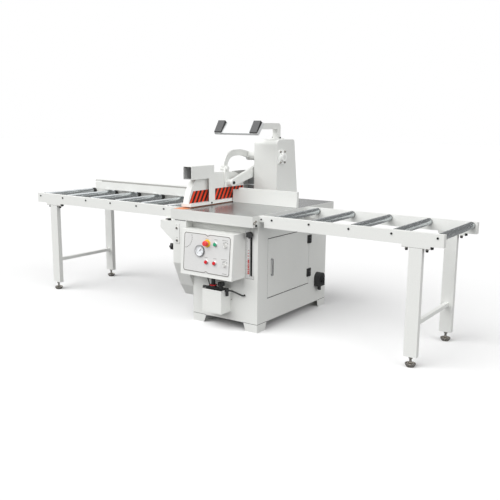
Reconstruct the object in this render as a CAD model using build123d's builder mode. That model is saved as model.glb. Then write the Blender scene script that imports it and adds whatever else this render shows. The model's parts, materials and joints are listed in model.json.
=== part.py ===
from build123d import *
import os
from math import asin, atan2, cos, degrees, pi, radians, sin, tan

# Pneumatic up-cut cross-cut saw with a roller conveyor on each side.
# Millimetres. X runs along the conveyors, Y from the operator to the back, Z up from the floor.
# Places are measured from a datum: the table's middle in X, the conveyors' front face in Y, the floor in Z.

os.makedirs("parts", exist_ok=True)

# Fits
running_clearance = 0.05
side_clearance = 0.5
press_gap = 0.3

# Conveyors
left_reach = 2068.0
right_reach = 1729.0
conveyor_width = 695.0
rail_height = 81.0
rail_depth = 42.0
rail_wall = 3.0
rail_drop = 2.0
rail_tongue_length = 43.0
rail_tongue_height = 42.0
roller_radius = 25.0
roller_wall = 2.5
roller_cap = 14.0
left_roller_count = 6
right_roller_count = 5
left_first_roller = 145.0
left_last_roller = 41.0
right_first_roller = 108.0
right_last_roller = 39.0
roller_end_gap = 4.0
axle_radius = 6.0
axle_head_radius = 7.0
axle_head_height = 4.0

# Conveyor legs
leg_width = 87.0
leg_depth = 40.0
leg_wall = 3.0
left_leg_inset = 211.0
right_leg_inset = 176.0
leg_floor_gap = 68.0
leg_plate_length = 186.0
leg_plate_thickness = 8.0
stretcher_height = 273.0
stretcher_size = 27.0
pad_radius = 35.0
pad_base_radius = 24.0
pad_height = 24.0
pad_rim = 8.0
pad_dish = 5.0
pad_rim_width = 6.0
pad_boss_radius = 14.0
pad_boss_height = 32.0
stud_radius = 8.0
stud_nut_radius = 14.0
stud_nut_height = 12.0

# Table and slot insert
table_top = 876.0
table_half_width = 382.0
table_front = 82.0
table_rear = 1120.0
apron_height = 81.0
apron_wall = 7.0
plate_thickness = 20.0
insert_thickness = 10.0
insert_width = 99.0
insert_rear = 700.0
insert_ledge = 20.0
blade_slot_width = 8.0
blade_slot_margin = 12.0
swing_steps = 12

# Cabinet
cabinet_left = 230.0
cabinet_right = 374.0
cabinet_depth = 1016.0
cabinet_wall = 4.0
foot_height = 62.0
foot_plate = 6.0
foot_sheet = 5.0
foot_top_length = 125.0
foot_bottom_length = 105.0
anchor_radius = 7.0
anchor_inset = 55.0
floor_plate = 6.0

# Service door on the cabinet's right side
door_front = 134.0
door_rear = 732.0
door_bottom = 243.0
door_top = 686.0
door_gap = 3.0
door_sheet = 3.0
door_return = 16.0
hinge_height = 66.0
hinge_leaf_width = 24.0
hinge_leaf_thickness = 5.0
hinge_knuckle_radius = 8.0
hinge_pin_radius = 4.0
hinge_low_inset = 56.0
hinge_high_inset = 46.0
handle_front = 180.0
handle_bottom = 404.0
handle_length = 132.0
handle_radius = 5.5
handle_reach = 15.0

# Blade, swing arm and drive
blade_offset = 312.0
blade_radius = 300.0
blade_thickness = 4.0
blade_teeth = 48
blade_rest_depth = 20.0
blade_rise = 190.0
swing_pivot_y = 640.0
swing_pivot_z = 500.0
swing_length = 350.0
swing_plate_thickness = 35.0
swing_plate_inset = 67.5
swing_ring_radius = 60.0
swing_boss_radius = 45.0
swing_ring_width = 65.0
pivot_stub_radius = 30.0
pivot_washer_radius = 42.0
pivot_washer_thickness = 5.0
arbor_radius = 20.0
arbor_flange_radius = 60.0
arbor_flange_thickness = 8.0
arbor_spacer_radius = 30.0
bearing_length = 80.0
arbor_opening_margin = 24.0
motor_pulley_radius = 60.0
arbor_pulley_radius = 66.0
pulley_width = 40.0
pulley_rim = 6.0
pulley_inset = 137.5
belt_width = 30.0
belt_thickness = 9.0
motor_radius = 105.0
motor_length = 300.0
motor_shaft_radius = 19.0
motor_gap = 10.0
motor_round = 10.0
motor_socket = 150.0
pedestal_width = 240.0
pedestal_depth = 170.0
pedestal_wall = 8.0

# Lift cylinder
lift_reach = 160.0
lug_thickness = 16.0
lug_radius = 30.0
lift_pin_radius = 8.0
lift_pin_play = 1.2
fork_cheek_radius = 15.0
fork_cheek_thickness = 12.0
fork_cheek_gap = 1.0
fork_depth = 38.0
fork_base = 20.0
lift_rod_radius = 10.0
lift_barrel_radius = 37.0
lift_bore_radius = 32.0
lift_cap = 14.0
lift_barrel_top_gap = 6.0
piston_height = 22.0
lift_foot_half = 60.0
lift_foot_thickness = 14.0

# Blade housing with dust hopper and conveyor bracket
housing_width = 131.0
housing_wall = 3.0
housing_rear = 720.0
housing_break_height = 457.0
hopper_drop = 277.0
hopper_break_height = 270.0
hopper_break_run = 82.0
hopper_front = 60.0
hopper_rear = 530.0
spigot_radius = 50.0
spigot_wall = 3.0
spigot_length = 60.0
spigot_height = 560.0
bracket_reach = 129.0
bracket_top_drop = 16.0
bracket_lip = 59.0
bracket_height = 157.0
bracket_depth = 142.0
bracket_wall = 5.0
bracket_lip_wall = 2.5
bracket_slope_wall = 7.5
housing_knob_drop = 44.0
housing_knob_setback = 18.0

# Control box and panel
box_inset = 8.0
box_width = 480.0
box_bottom = 405.0
box_height = 335.0
box_depth_top = 135.0
box_depth_bottom = 161.0
box_wall = 3.0
panel_width = 432.0
panel_height = 289.0
panel_shift_u = 2.0
panel_shift_v = 5.5
panel_thickness = 2.0
panel_corner = 14.0
controls_top_row = 84.0
controls_row_gap = 138.0
controls_first_column = 6.0
controls_second_column = 81.0
controls_third_column = 173.0
gauge_left = 58.0
gauge_v = 23.0
gauge_radius = 42.0
gauge_depth = 12.0
gauge_floor = 4.0
gauge_pin_radius = 2.0
gauge_pin_height = 8.0
gauge_rim = 5.0
needle_length = 26.0
needle_width = 3.0
needle_thickness = 2.0
needle_tail = 4.0
needle_rest = 45.0
needle_hub_radius = 4.0
button_hole_radius = 11.0
stop_cap_radius = 20.0
stop_cap_round = 6.0
stop_cap_height = 18.0
stop_neck_radius = 12.0
stop_neck_height = 16.0
stop_collar_radius = 26.0
stop_collar_height = 4.0
button_radius = 12.5
button_height = 9.0
button_round = 1.0
button_collar_radius = 15.0
button_collar_height = 5.0
stem_radius = 8.0
stem_length = 14.0
press_travel = 4.0
stop_travel = 6.0
selector_radius = 14.0
selector_height = 8.0
selector_lever_width = 8.0
selector_lever_height = 12.0

# Stroke slot and knob on the cabinet front
stroke_slot_x = 316.0
stroke_slot_bottom = 423.0
stroke_slot_top = 745.0
stroke_slot_width = 12.0
stroke_rest_gap = 12.0
star_body_radius = 20.3
star_lobe_place = 17.2
star_lobe_radius = 8.8
star_knob_height = 22.0
star_knob_neck_radius = 11.0
star_knob_neck = 12.0
star_knob_stem_radius = 5.0
star_lobes = 5

# Air unit
air_inset = 184.0
air_width = 177.0
air_bottom = 127.0
air_top = 306.0
air_depth = 118.0
air_wall = 3.0
air_body_depth = 46.0
air_body_height = 26.0
air_body_sink = 17.0
air_body_inset = 6.0
air_inlet_radius = 12.0
air_inlet_length = 34.0
air_port_radius = 5.7
air_port_depth = 14.0
regulator_inset = 60.0
regulator_knob_radius = 15.5
regulator_knob_height = 40.0
regulator_knob_round = 3.0
regulator_ring_radius = 25.0
regulator_ring_height = 18.0
filter_bowl_radius = 26.0
shutoff_inset = 135.0
shutoff_knob_radius = 26.0
shutoff_knob_height = 24.0
shutoff_flutes = 6
shutoff_flute_radius = 5.0
shutoff_neck_radius = 13.0
shutoff_neck_height = 18.0
pilot_hose_radius = 4.0
outlet_hose_radius = 6.0
hose_bend = 22.0
outlet_stub_radius = 8.0
outlet_rise = 4.0
outlet_elbow_radius = 11.0
outlet_elbow_head = 14.0
outlet_elbow_drop = 44.0
outlet_nozzle_radius = 9.0
outlet_nozzle_length = 17.0
outlet_hose_lead = 30.0
outlet_hose_run = 130.0
outlet_hose_turn = 24.0
outlet_hose_z = 272.0
pilot_hose_inset = 4.0
pilot_end_inset = 28.0

# Isolator on the cabinet's right side
isolator_inset = 98.0
isolator_length = 87.0
isolator_bottom = 197.0
isolator_height = 112.0
isolator_depth = 54.0
isolator_neck_radius = 14.0
isolator_neck = 36.0
isolator_dial_radius = 26.0
isolator_dial_height = 10.0
isolator_grip_width = 12.0
isolator_grip_height = 9.0

# Column and parallel arms
column_offset = 90.0
column_width = 228.0
column_front = 780.0
column_base_depth = 338.0
column_top_depth = 268.0
column_height = 510.0
column_wall = 6.0
column_front_round = 42.0
column_rear_round = 28.0
link_rise = 90.0
link_run = 353.0
upper_pivot_setback = 62.0
upper_pivot_height = 368.0
lower_pivot_setback = 78.0
lower_pivot_drop = 114.0
pivot_shaft_radius = 17.5
pivot_boss_radius = 36.0
upper_arm_shift = 12.0
upper_arm_thickness = 24.0
upper_arm_width = 50.0
upper_arm_bend = 120.0
upper_arm_turn = 80.0
arm_end_round = 18.0
arm_barrel_radius = 19.0
arm_barrel_length = 21.0
front_pin_radius = 9.0
pin_head_radius = 19.0
pin_head_height = 9.5
post_width = 58.0
post_thickness = 15.5
post_eye_radius = 23.0
post_low = 127.0
post_bend = 236.0
lower_arm_thickness = 30.0
lower_arm_front_radius = 28.0
lower_arm_rear_radius = 43.0
lower_stud_radius = 15.0
lower_stud_boss_radius = 30.0
lower_stud_boss = 11.5
lower_bolt_radius = 10.0
lower_bolt_depth = 30.0
bearing_flange_width = 92.0
bearing_flange_height = 116.0
bearing_flange_thickness = 14.0
bearing_hub_radius = 34.0
bearing_hub_length = 22.0

# Guard hood, pressure shoes and yoke
guard_gap = 9.0
shoe_height = 23.0
shoe_right_width = 31.0
shoe_left_width = 10.0
hood_width = 52.0
hood_wall = 3.0
hood_front = 13.0
hood_rear = 740.0
hood_front_height = 216.0
hood_front_setback = 96.0
hood_front_bulge = 14.0
hood_rear_height = 257.0
hood_back_run = 134.0
hood_back_drop = 12.0
hood_tail_run = 80.0
hood_tail_drop = 30.0
hood_tail_height = 164.0
shoe_front = 6.0
yoke_inset = 4.0
yoke_width = 84.0
yoke_front = 12.0
yoke_length = 280.0
yoke_height = 102.0
yoke_wall = 4.0
yoke_leg_width = 64.0

# Chip screen behind the guard
screen_offset = 57.0
screen_front = 690.0
screen_rear = 922.0
screen_height = 242.0
screen_wall = 2.0

# Fences
fence_face = 540.0
right_fence_gap = 63.0
right_fence_margin = 14.0
right_fence_height = 122.0
right_fence_step = 16.0
right_fence_step_length = 59.0
right_fence_thickness = 30.0
right_fence_round = 6.0
left_fence_inset = 176.0
left_fence_gap = 38.0
left_fence_height = 92.0
left_fence_thickness = 60.0
left_fence_lift = 8.0
left_fence_wall = 4.0
left_fence_groove = 12.0
left_fence_groove_drop = 9.0
fence_bracket_width = 60.0

# Lamp on its bent arm
lamp_arm_size = 50.0
lamp_arm_wall = 3.0
lamp_arm_setback = 164.0
lamp_arm_height = 110.0
lamp_arm_bend = 33.0
lamp_arm_end = 508.0
lamp_flange = 96.0
lamp_flange_thickness = 8.0
lamp_length = 420.0
lamp_width = 114.0
lamp_thickness = 24.0
lamp_wall = 3.0
lamp_mount_half = 32.0
lamp_shift = 22.0
lamp_tilt = 40.6
lamp_pivot_y = 484.0
lamp_pivot_offset = 18.1
lamp_pivot_shift = 49.5
lamp_cap_length = 68.0
lamp_left_cap = 4.0
lamp_right_cap = 4.0
lamp_cap_low_margin = 2.0
lamp_cap_high_margin = 5.0
lamp_cap_low = 12.0
lamp_cap_high = 26.0
lamp_cap_chamfer = 2.0
lamp_ear_thickness = 6.0
lamp_tongue_thickness = 28.0
lamp_pin_radius = 6.0
lamp_eye_radius = 12.0
lamp_ear_run = 26.0
lamp_ear_foot_radius = 4.0
lamp_edge_round = 4.0

# Places worked out from the sizes above
blade_x = -blade_offset
swing_plate_x = -cabinet_left + swing_plate_inset
pulley_x = -cabinet_left + pulley_inset
hopper_bottom = housing_break_height - hopper_drop
hopper_break = -table_front + hopper_break_run
box_left = -cabinet_left + box_inset
box_right = box_left + box_width
controls_bottom_row = controls_top_row - controls_row_gap
gauge_u = -gauge_left
air_left = -cabinet_left + air_inset
air_right = air_left + air_width
regulator_x = air_left + regulator_inset
shutoff_x = air_left + shutoff_inset
outlet_hose_x = air_right + outlet_hose_run
pilot_hose_x = air_left + pilot_hose_inset
pilot_end_x = air_left + pilot_end_inset
isolator_front = cabinet_depth - isolator_inset - isolator_length
column_middle = -column_offset
upper_arm_x = blade_x + upper_arm_shift
right_fence_left = blade_x + right_fence_gap
right_fence_right = table_half_width - right_fence_margin
left_fence_left = -left_reach + left_fence_inset
left_fence_right = -table_half_width - left_fence_gap
lamp_middle = column_middle - lamp_shift
panel_tilt = atan2(box_depth_bottom - box_depth_top, box_height)
panel_middle_x = (box_left + box_right) / 2
panel_middle_z = box_bottom + box_height / 2
panel_middle_depth = (box_depth_top + box_depth_bottom) / 2
stop_height = panel_thickness + stop_collar_height + stop_neck_height + stop_cap_height
stop_edge = stop_height - stop_cap_round
stop_rim = stop_cap_radius - stop_cap_round
front_reach = panel_middle_depth - (controls_top_row - stop_rim) * sin(panel_tilt)
front_reach += stop_edge * cos(panel_tilt) + stop_cap_round
x_table = (left_reach - right_reach) / 2
y_rail = (front_reach - table_rear) / 2
rail_top = table_top - rail_drop
rail_bottom = rail_top - rail_height
axle_z = table_top - roller_radius
rear_rail = conveyor_width - rail_depth
cabinet_top = table_top - plate_thickness
apron_bottom = table_top - apron_height
bracket_top = apron_bottom - bracket_top_drop
housing_knob_height = bracket_top - bracket_height - housing_knob_drop
arbor_z = table_top - blade_rest_depth - blade_radius
arbor_y = swing_pivot_y - (swing_length**2 - (arbor_z - swing_pivot_z) ** 2) ** 0.5
raised_z = arbor_z + blade_rise
raised_y = swing_pivot_y - (swing_length**2 - (raised_z - swing_pivot_z) ** 2) ** 0.5
rest_angle = asin((arbor_z - swing_pivot_z) / swing_length)
swing_angle = asin((raised_z - swing_pivot_z) / swing_length) - rest_angle
shoe_bottom = table_top + guard_gap
hood_bottom = shoe_bottom + shoe_height
upper_rear_pivot = (column_front + upper_pivot_setback, table_top + upper_pivot_height)
upper_front_pivot = (upper_rear_pivot[0] - link_run, upper_rear_pivot[1] - link_rise)
lower_rear_pivot = (column_front + lower_pivot_setback, upper_rear_pivot[1] - lower_pivot_drop)
lower_front_pivot = (lower_rear_pivot[0] - link_run, lower_rear_pivot[1] - link_rise)
column_left = column_middle - column_width / 2
column_right = column_middle + column_width / 2
column_top = table_top + column_height
pivot_centre = (swing_pivot_y, swing_pivot_z)
left_start = table_half_width + left_first_roller
right_start = table_half_width + right_first_roller
left_pitch = (left_reach - left_last_roller - left_start) / (left_roller_count - 1)
right_pitch = (right_reach - right_last_roller - right_start) / (right_roller_count - 1)
left_roller_places = [-left_start - i * left_pitch for i in range(left_roller_count)]
right_roller_places = [right_start + i * right_pitch for i in range(right_roller_count)]

PLAN = Plane((x_table, y_rail, 0))
FRONT = Plane((x_table, y_rail, 0), x_dir=(1, 0, 0), z_dir=(0, -1, 0))
SIDE = Plane((x_table, y_rail, 0), x_dir=(0, 1, 0), z_dir=(1, 0, 0))
PANEL = Plane(
    (x_table + panel_middle_x, y_rail - panel_middle_depth, panel_middle_z),
    x_dir=(1, 0, 0),
    z_dir=(0, -cos(panel_tilt), sin(panel_tilt)),
)


def plan(z):
    """Level plane at a height; sketches are in x and y, and extrude upwards."""
    return PLAN.offset(z)


def front(y):
    """Upright plane facing the operator; sketches are in x and z, and extrude forwards."""
    return FRONT.offset(-y)


def side(x):
    """Upright plane across the conveyors; sketches are in y and z, and extrude to the right."""
    return SIDE.offset(x)


def block(plane, low, high, depth, mode=Mode.ADD):
    """Rectangle between two corners of a plane, drawn out by a depth."""
    with BuildSketch(plane) as outline:
        with Locations(((low[0] + high[0]) / 2, (low[1] + high[1]) / 2)):
            Rectangle(high[0] - low[0], high[1] - low[1])
    extrude(outline.sketch, amount=depth, mode=mode)


def rod(plane, centre, radius, depth, mode=Mode.ADD):
    """Round bar standing on a plane."""
    with BuildSketch(plane) as outline:
        with Locations(centre):
            Circle(radius)
    extrude(outline.sketch, amount=depth, mode=mode)


def link(plane, first, first_radius, second, second_radius, depth, mode=Mode.ADD):
    """Flat link with two round ends of their own radius."""
    with BuildSketch(plane) as outline:
        with Locations(first):
            Circle(first_radius)
        with Locations(second):
            Circle(second_radius)
        make_hull()
    extrude(outline.sketch, amount=depth, mode=mode)


def prism(plane, points, depth, mode=Mode.ADD):
    """Straight-sided outline drawn out by a depth."""
    with BuildSketch(plane) as outline:
        with BuildLine():
            Polyline(*points, close=True)
        make_face()
    extrude(outline.sketch, amount=depth, mode=mode)


def star_knob(plane, centre):
    """Lobed hand knob: stem into the panel, neck, and a head with rounded lobes."""
    with BuildSketch(plane.offset(star_knob_neck)) as head:
        with Locations(centre):
            Circle(star_body_radius)
            with PolarLocations(star_lobe_place, star_lobes):
                Circle(star_lobe_radius)
    rod(plane, centre, star_knob_neck_radius, star_knob_neck)
    extrude(head.sketch, amount=star_knob_height)
    rod(plane, centre, star_knob_stem_radius, -cabinet_wall - side_clearance)


def save(piece, name):
    """Name a finished piece and write it."""
    piece.label = name
    export_step(piece, f"parts/{name}.step")


# Cabinet shell: four folded walls, with openings for the door, the arbor and the stroke knob

with BuildPart() as cabinet_shell:
    wall = cabinet_wall
    shell_height = cabinet_top - foot_height
    block(plan(foot_height), (-cabinet_left, 0), (cabinet_right, cabinet_depth), shell_height)
    block(
        plan(foot_height),
        (-cabinet_left + wall, wall),
        (cabinet_right - wall, cabinet_depth - wall),
        shell_height,
        Mode.SUBTRACT,
    )
    block(
        side(cabinet_right - wall),
        (door_front - door_gap, door_bottom - door_gap),
        (door_rear + door_gap, door_top + door_gap),
        wall,
        Mode.SUBTRACT,
    )
    margin = arbor_opening_margin + arbor_spacer_radius
    block(
        side(-cabinet_left),
        (arbor_y - margin, arbor_z - margin),
        (raised_y + margin, raised_z + margin),
        wall,
        Mode.SUBTRACT,
    )
    with BuildSketch(front(wall)) as stroke_slot:
        with Locations((stroke_slot_x, (stroke_slot_bottom + stroke_slot_top) / 2)):
            SlotOverall(stroke_slot_top - stroke_slot_bottom, stroke_slot_width, rotation=90)
    extrude(stroke_slot.sketch, amount=wall, mode=Mode.SUBTRACT)
    hose_hole = outlet_hose_radius + running_clearance
    rod(front(wall), (outlet_hose_x, outlet_hose_z), hose_hole, wall, Mode.SUBTRACT)
    # Stub that the swing arm turns on, with the washer that keeps the arm on it
    ring_left = swing_plate_x - swing_ring_width / 2
    stub_start = -cabinet_left + wall
    stub_end = ring_left + swing_ring_width + side_clearance
    stub_length = stub_end + pivot_washer_thickness - stub_start
    rod(side(stub_start), pivot_centre, swing_ring_radius, ring_left - side_clearance - stub_start)
    rod(side(stub_start), pivot_centre, pivot_stub_radius, stub_length)
    rod(side(stub_end), pivot_centre, pivot_washer_radius, pivot_washer_thickness)
save(cabinet_shell.part, "cabinet_shell")

# Cabinet base: floor plate and four corner feet of bent sheet on anchor plates

with BuildPart() as cabinet_base:
    block(
        plan(foot_height),
        (-cabinet_left + cabinet_wall, cabinet_wall),
        (cabinet_right - cabinet_wall, cabinet_depth - cabinet_wall),
        floor_plate,
    )
    for x_edge, x_in in ((-cabinet_left, 1), (cabinet_right, -1)):
        for y_edge, y_in in ((0, 1), (cabinet_depth, -1)):
            front_sheet = [
                (x_edge, 0),
                (x_edge + x_in * foot_bottom_length, 0),
                (x_edge + x_in * foot_top_length, foot_height),
                (x_edge, foot_height),
            ]
            side_sheet = [
                (y_edge, 0),
                (y_edge + y_in * foot_bottom_length, 0),
                (y_edge + y_in * foot_top_length, foot_height),
                (y_edge, foot_height),
            ]
            prism(front(y_edge), front_sheet, -y_in * foot_sheet)
            prism(side(x_edge), side_sheet, x_in * foot_sheet)
            x_foot = x_edge + x_in * foot_bottom_length
            y_foot = y_edge + y_in * foot_bottom_length
            block(
                PLAN,
                (min(x_edge, x_foot), min(y_edge, y_foot)),
                (max(x_edge, x_foot), max(y_edge, y_foot)),
                foot_plate,
            )
            anchor = (x_edge + x_in * anchor_inset, y_edge + y_in * anchor_inset)
            rod(PLAN, anchor, anchor_radius, foot_plate, Mode.SUBTRACT)
save(cabinet_base.part, "cabinet_base")

# Service door: a sheet pan with a hinge leaf at two heights, flush in its opening

hinge_y = door_rear + door_gap / 2
hinge_x = cabinet_right + hinge_knuckle_radius + side_clearance
hinge_heights = (door_bottom + hinge_low_inset, door_top - hinge_high_inset - hinge_height)
knuckle = hinge_height / 3

with BuildPart() as cabinet_door:
    block(
        side(cabinet_right - door_return),
        (door_front, door_bottom),
        (door_rear, door_top),
        door_return,
    )
    block(
        side(cabinet_right - door_return),
        (door_front + door_sheet, door_bottom + door_sheet),
        (door_rear - door_sheet, door_top - door_sheet),
        door_return - door_sheet,
        Mode.SUBTRACT,
    )
    for z in hinge_heights:
        middle = z + knuckle + side_clearance
        tall = knuckle - 2 * side_clearance
        block(
            plan(middle),
            (cabinet_right, hinge_y - hinge_leaf_width),
            (cabinet_right + hinge_leaf_thickness, hinge_y),
            tall,
        )
        rod(plan(middle), (hinge_x, hinge_y), hinge_knuckle_radius, tall)
        rod(plan(middle), (hinge_x, hinge_y), hinge_pin_radius + running_clearance, tall, Mode.SUBTRACT)
save(cabinet_door.part, "cabinet_door")

# Hinge leaves on the cabinet, each with two knuckles and the pin

with BuildPart() as door_hinges:
    for z in hinge_heights:
        for low in (z, z + 2 * knuckle):
            rod(plan(low), (hinge_x, hinge_y), hinge_knuckle_radius, knuckle)
            block(
                plan(low),
                (cabinet_right, hinge_y + door_gap),
                (hinge_x, hinge_y + hinge_knuckle_radius),
                knuckle,
            )
            block(
                plan(low),
                (cabinet_right, hinge_y + door_gap),
                (cabinet_right + hinge_leaf_thickness, hinge_y + hinge_leaf_width),
                knuckle,
            )
        block(
            plan(z),
            (cabinet_right, hinge_y + hinge_knuckle_radius + side_clearance),
            (cabinet_right + hinge_leaf_thickness, hinge_y + hinge_leaf_width),
            hinge_height,
        )
        rod(plan(z), (hinge_x, hinge_y), hinge_pin_radius, hinge_height)
save(door_hinges.part, "door_hinges")

# Bow handle on the door

with BuildPart() as door_handle:
    grip_x = cabinet_right + handle_reach
    for z in (handle_bottom + handle_radius, handle_bottom + handle_length - handle_radius):
        rod(side(cabinet_right), (handle_front, z), handle_radius, handle_reach)
        with Locations((x_table + grip_x, y_rail + handle_front, z)):
            Sphere(handle_radius)
    rod(
        plan(handle_bottom + handle_radius),
        (grip_x, handle_front),
        handle_radius,
        handle_length - 2 * handle_radius,
    )
save(door_handle.part, "door_handle")

# Table: plate with a folded apron, and the stepped opening for the slot insert

insert_left = blade_x - insert_width / 2
insert_right = blade_x + insert_width / 2
insert_front = -table_front + apron_wall

with BuildPart() as table:
    block(
        plan(apron_bottom),
        (-table_half_width, -table_front),
        (table_half_width, table_rear),
        apron_height,
    )
    block(
        plan(apron_bottom),
        (-table_half_width + apron_wall, -table_front + apron_wall),
        (table_half_width - apron_wall, table_rear - apron_wall),
        apron_height - plate_thickness,
        Mode.SUBTRACT,
    )
    block(
        plan(table_top - insert_thickness),
        (insert_left - press_gap, insert_front - press_gap),
        (insert_right + press_gap, insert_rear + press_gap),
        insert_thickness,
        Mode.SUBTRACT,
    )
    block(
        plan(cabinet_top),
        (insert_left + insert_ledge, insert_front + insert_ledge),
        (insert_right - insert_ledge, insert_rear - insert_ledge),
        plate_thickness,
        Mode.SUBTRACT,
    )
save(table.part, "table_top")

# Slot insert: a replaceable strip with the blade's slot

# The blade's reach at the insert's underside, looked at along the whole swing
blade_fronts = []
blade_rears = []
for i in range(swing_steps + 1):
    angle = rest_angle + swing_angle * i / swing_steps
    above = table_top - insert_thickness - swing_pivot_z - swing_length * sin(angle)
    half_chord = max(0, blade_radius**2 - above**2) ** 0.5
    blade_fronts.append(swing_pivot_y - swing_length * cos(angle) - half_chord)
    blade_rears.append(swing_pivot_y - swing_length * cos(angle) + half_chord)
slot_start = min(blade_fronts) - blade_slot_margin
slot_end = max(blade_rears) + blade_slot_margin

with BuildPart() as slot_insert:
    block(
        plan(table_top - insert_thickness),
        (insert_left, insert_front),
        (insert_right, insert_rear),
        insert_thickness,
    )
    block(
        plan(table_top - insert_thickness),
        (blade_x - blade_slot_width / 2, slot_start),
        (blade_x + blade_slot_width / 2, slot_end),
        insert_thickness,
        Mode.SUBTRACT,
    )
save(slot_insert.part, "slot_insert")

# Column: a tapered box with rounded shoulders, open below, and the stud of the lower arm

shaft_hole = pivot_shaft_radius + running_clearance


def column_outline(inset):
    """Side outline of the column, drawn in by an inset."""
    front_y = column_front + inset
    base_y = column_front + column_base_depth - inset
    top_y = column_front + column_top_depth - inset
    with BuildSketch(side(column_left + inset)) as outline:
        with BuildLine():
            Polyline(
                (front_y, table_top),
                (base_y, table_top),
                (top_y, column_top - inset),
                (front_y, column_top - inset),
                close=True,
            )
        make_face()
        front_shoulder = outline.vertices().group_by(Axis.Y)[-1].sort_by(Axis.X)[0]
        fillet(front_shoulder, column_front_round - inset)
        rear_shoulder = outline.vertices().group_by(Axis.Y)[-1].sort_by(Axis.X)[-1]
        fillet(rear_shoulder, column_rear_round - inset)
    return outline.sketch


with BuildPart() as column:
    extrude(column_outline(0), amount=column_width)
    extrude(column_outline(column_wall), amount=column_width - 2 * column_wall, mode=Mode.SUBTRACT)
    rod(side(column_left), upper_rear_pivot, shaft_hole, column_width, Mode.SUBTRACT)
    rod(side(column_left), lower_rear_pivot, lower_stud_boss_radius, -lower_stud_boss)
    stud_length = lower_stud_boss + lower_arm_thickness + 2 * side_clearance
    rod(side(column_left), lower_rear_pivot, lower_stud_radius, -stud_length)

# Flange bearing of the upper arm's shaft, on the column's right side

with BuildPart() as flange_bearing:
    bearing_y, bearing_z = upper_rear_pivot
    block(
        side(column_right),
        (bearing_y - bearing_flange_width / 2, bearing_z - bearing_flange_height / 2),
        (bearing_y + bearing_flange_width / 2, bearing_z + bearing_flange_height / 2),
        bearing_flange_thickness,
    )
    corners = flange_bearing.edges().filter_by(Axis.X)
    fillet(corners, bearing_flange_thickness)
    hub_length = bearing_flange_thickness + bearing_hub_length
    rod(side(column_right), upper_rear_pivot, bearing_hub_radius, hub_length)
    rod(side(column_right), upper_rear_pivot, shaft_hole, hub_length, Mode.SUBTRACT)
save(Compound([column.part.solid(), flange_bearing.part.solid()]), "column")

# Upper arm: a curved bar with a barrel and pin at its front end, on a shaft through the column

arm_left = upper_arm_x - upper_arm_thickness / 2
arm_right = upper_arm_x + upper_arm_thickness / 2

with BuildPart() as upper_arm:
    with BuildSketch(side(arm_left)) as bar:
        with BuildLine():
            bend = JernArc(upper_front_pivot, (0, 1), upper_arm_bend, -upper_arm_turn)
            TangentArc(bend @ 1, upper_rear_pivot, tangent=bend % 1)
        trace(line_width=upper_arm_width)
    extrude(bar.sketch, amount=upper_arm_thickness)
    fillet(upper_arm.edges().filter_by(Axis.X).sort_by(Axis.Z)[:2], arm_end_round)
    barrel_left = arm_left - arm_barrel_length
    rod(side(barrel_left), upper_front_pivot, arm_barrel_radius, arm_right - barrel_left)
    pin_length = post_thickness + 2 * side_clearance
    rod(side(arm_right), upper_front_pivot, front_pin_radius, pin_length)
    rod(side(arm_right + pin_length), upper_front_pivot, pin_head_radius, pin_head_height)
    rod(side(arm_left), upper_rear_pivot, pivot_boss_radius, column_left - side_clearance - arm_left)
    shaft_end = column_right + bearing_flange_thickness + bearing_hub_length
    rod(side(arm_right), upper_rear_pivot, pivot_shaft_radius, shaft_end - arm_right)
save(upper_arm.part, "upper_arm")

# Lower arm: a tapered bar between the column's stud and the guard's boss, with its front bolt

lower_arm_right = column_left - lower_stud_boss - side_clearance
lower_arm_left = lower_arm_right - lower_arm_thickness

with BuildPart() as lower_arm:
    link(
        side(lower_arm_left),
        lower_front_pivot,
        lower_arm_front_radius,
        lower_rear_pivot,
        lower_arm_rear_radius,
        lower_arm_thickness,
    )
    stud_hole = lower_stud_radius + running_clearance
    rod(side(lower_arm_left), lower_rear_pivot, stud_hole, lower_arm_thickness, Mode.SUBTRACT)
    rod(side(lower_arm_left), lower_front_pivot, lower_bolt_radius, -lower_bolt_depth)
save(lower_arm.part, "lower_arm")

# Guard hood: a narrow sheet cover over the raised blade, with the post and boss of the two arms

hood_left = blade_x - hood_width / 2
hood_right = blade_x + hood_width / 2
hood_shelf = table_top + hood_front_height
hood_step = yoke_front + yoke_length + side_clearance
hood_top = table_top + hood_rear_height
back_end = (hood_rear - hood_back_run, hood_top - hood_back_drop)
tail_middle = (hood_rear - hood_tail_run, hood_top - hood_tail_drop)
tail_end = (hood_rear, table_top + hood_tail_height)


def hood_outline(x, inset):
    """Side outline of the hood: curved nose, flat shelf under the yoke, raised back and a falling tail."""
    nose_low = (hood_front + inset, hood_bottom)
    nose_high = (hood_front + hood_front_setback + inset, hood_shelf - inset)
    nose_middle = (
        (nose_low[0] + nose_high[0]) / 2 - hood_front_bulge,
        (nose_low[1] + nose_high[1]) / 2 + hood_front_bulge / 2,
    )
    with BuildSketch(side(x)) as outline:
        with BuildLine():
            ThreePointArc(nose_low, nose_middle, nose_high)
            Polyline(
                nose_high,
                (hood_step + inset, hood_shelf - inset),
                (hood_step + inset, hood_top - inset),
                (back_end[0], back_end[1] - inset),
            )
            ThreePointArc(
                (back_end[0], back_end[1] - inset),
                (tail_middle[0], tail_middle[1] - inset),
                (tail_end[0] - inset, tail_end[1] - inset),
            )
            Polyline(
                (tail_end[0] - inset, tail_end[1] - inset),
                (hood_rear - inset, hood_bottom),
                nose_low,
            )
        make_face()
    return outline.sketch


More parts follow.
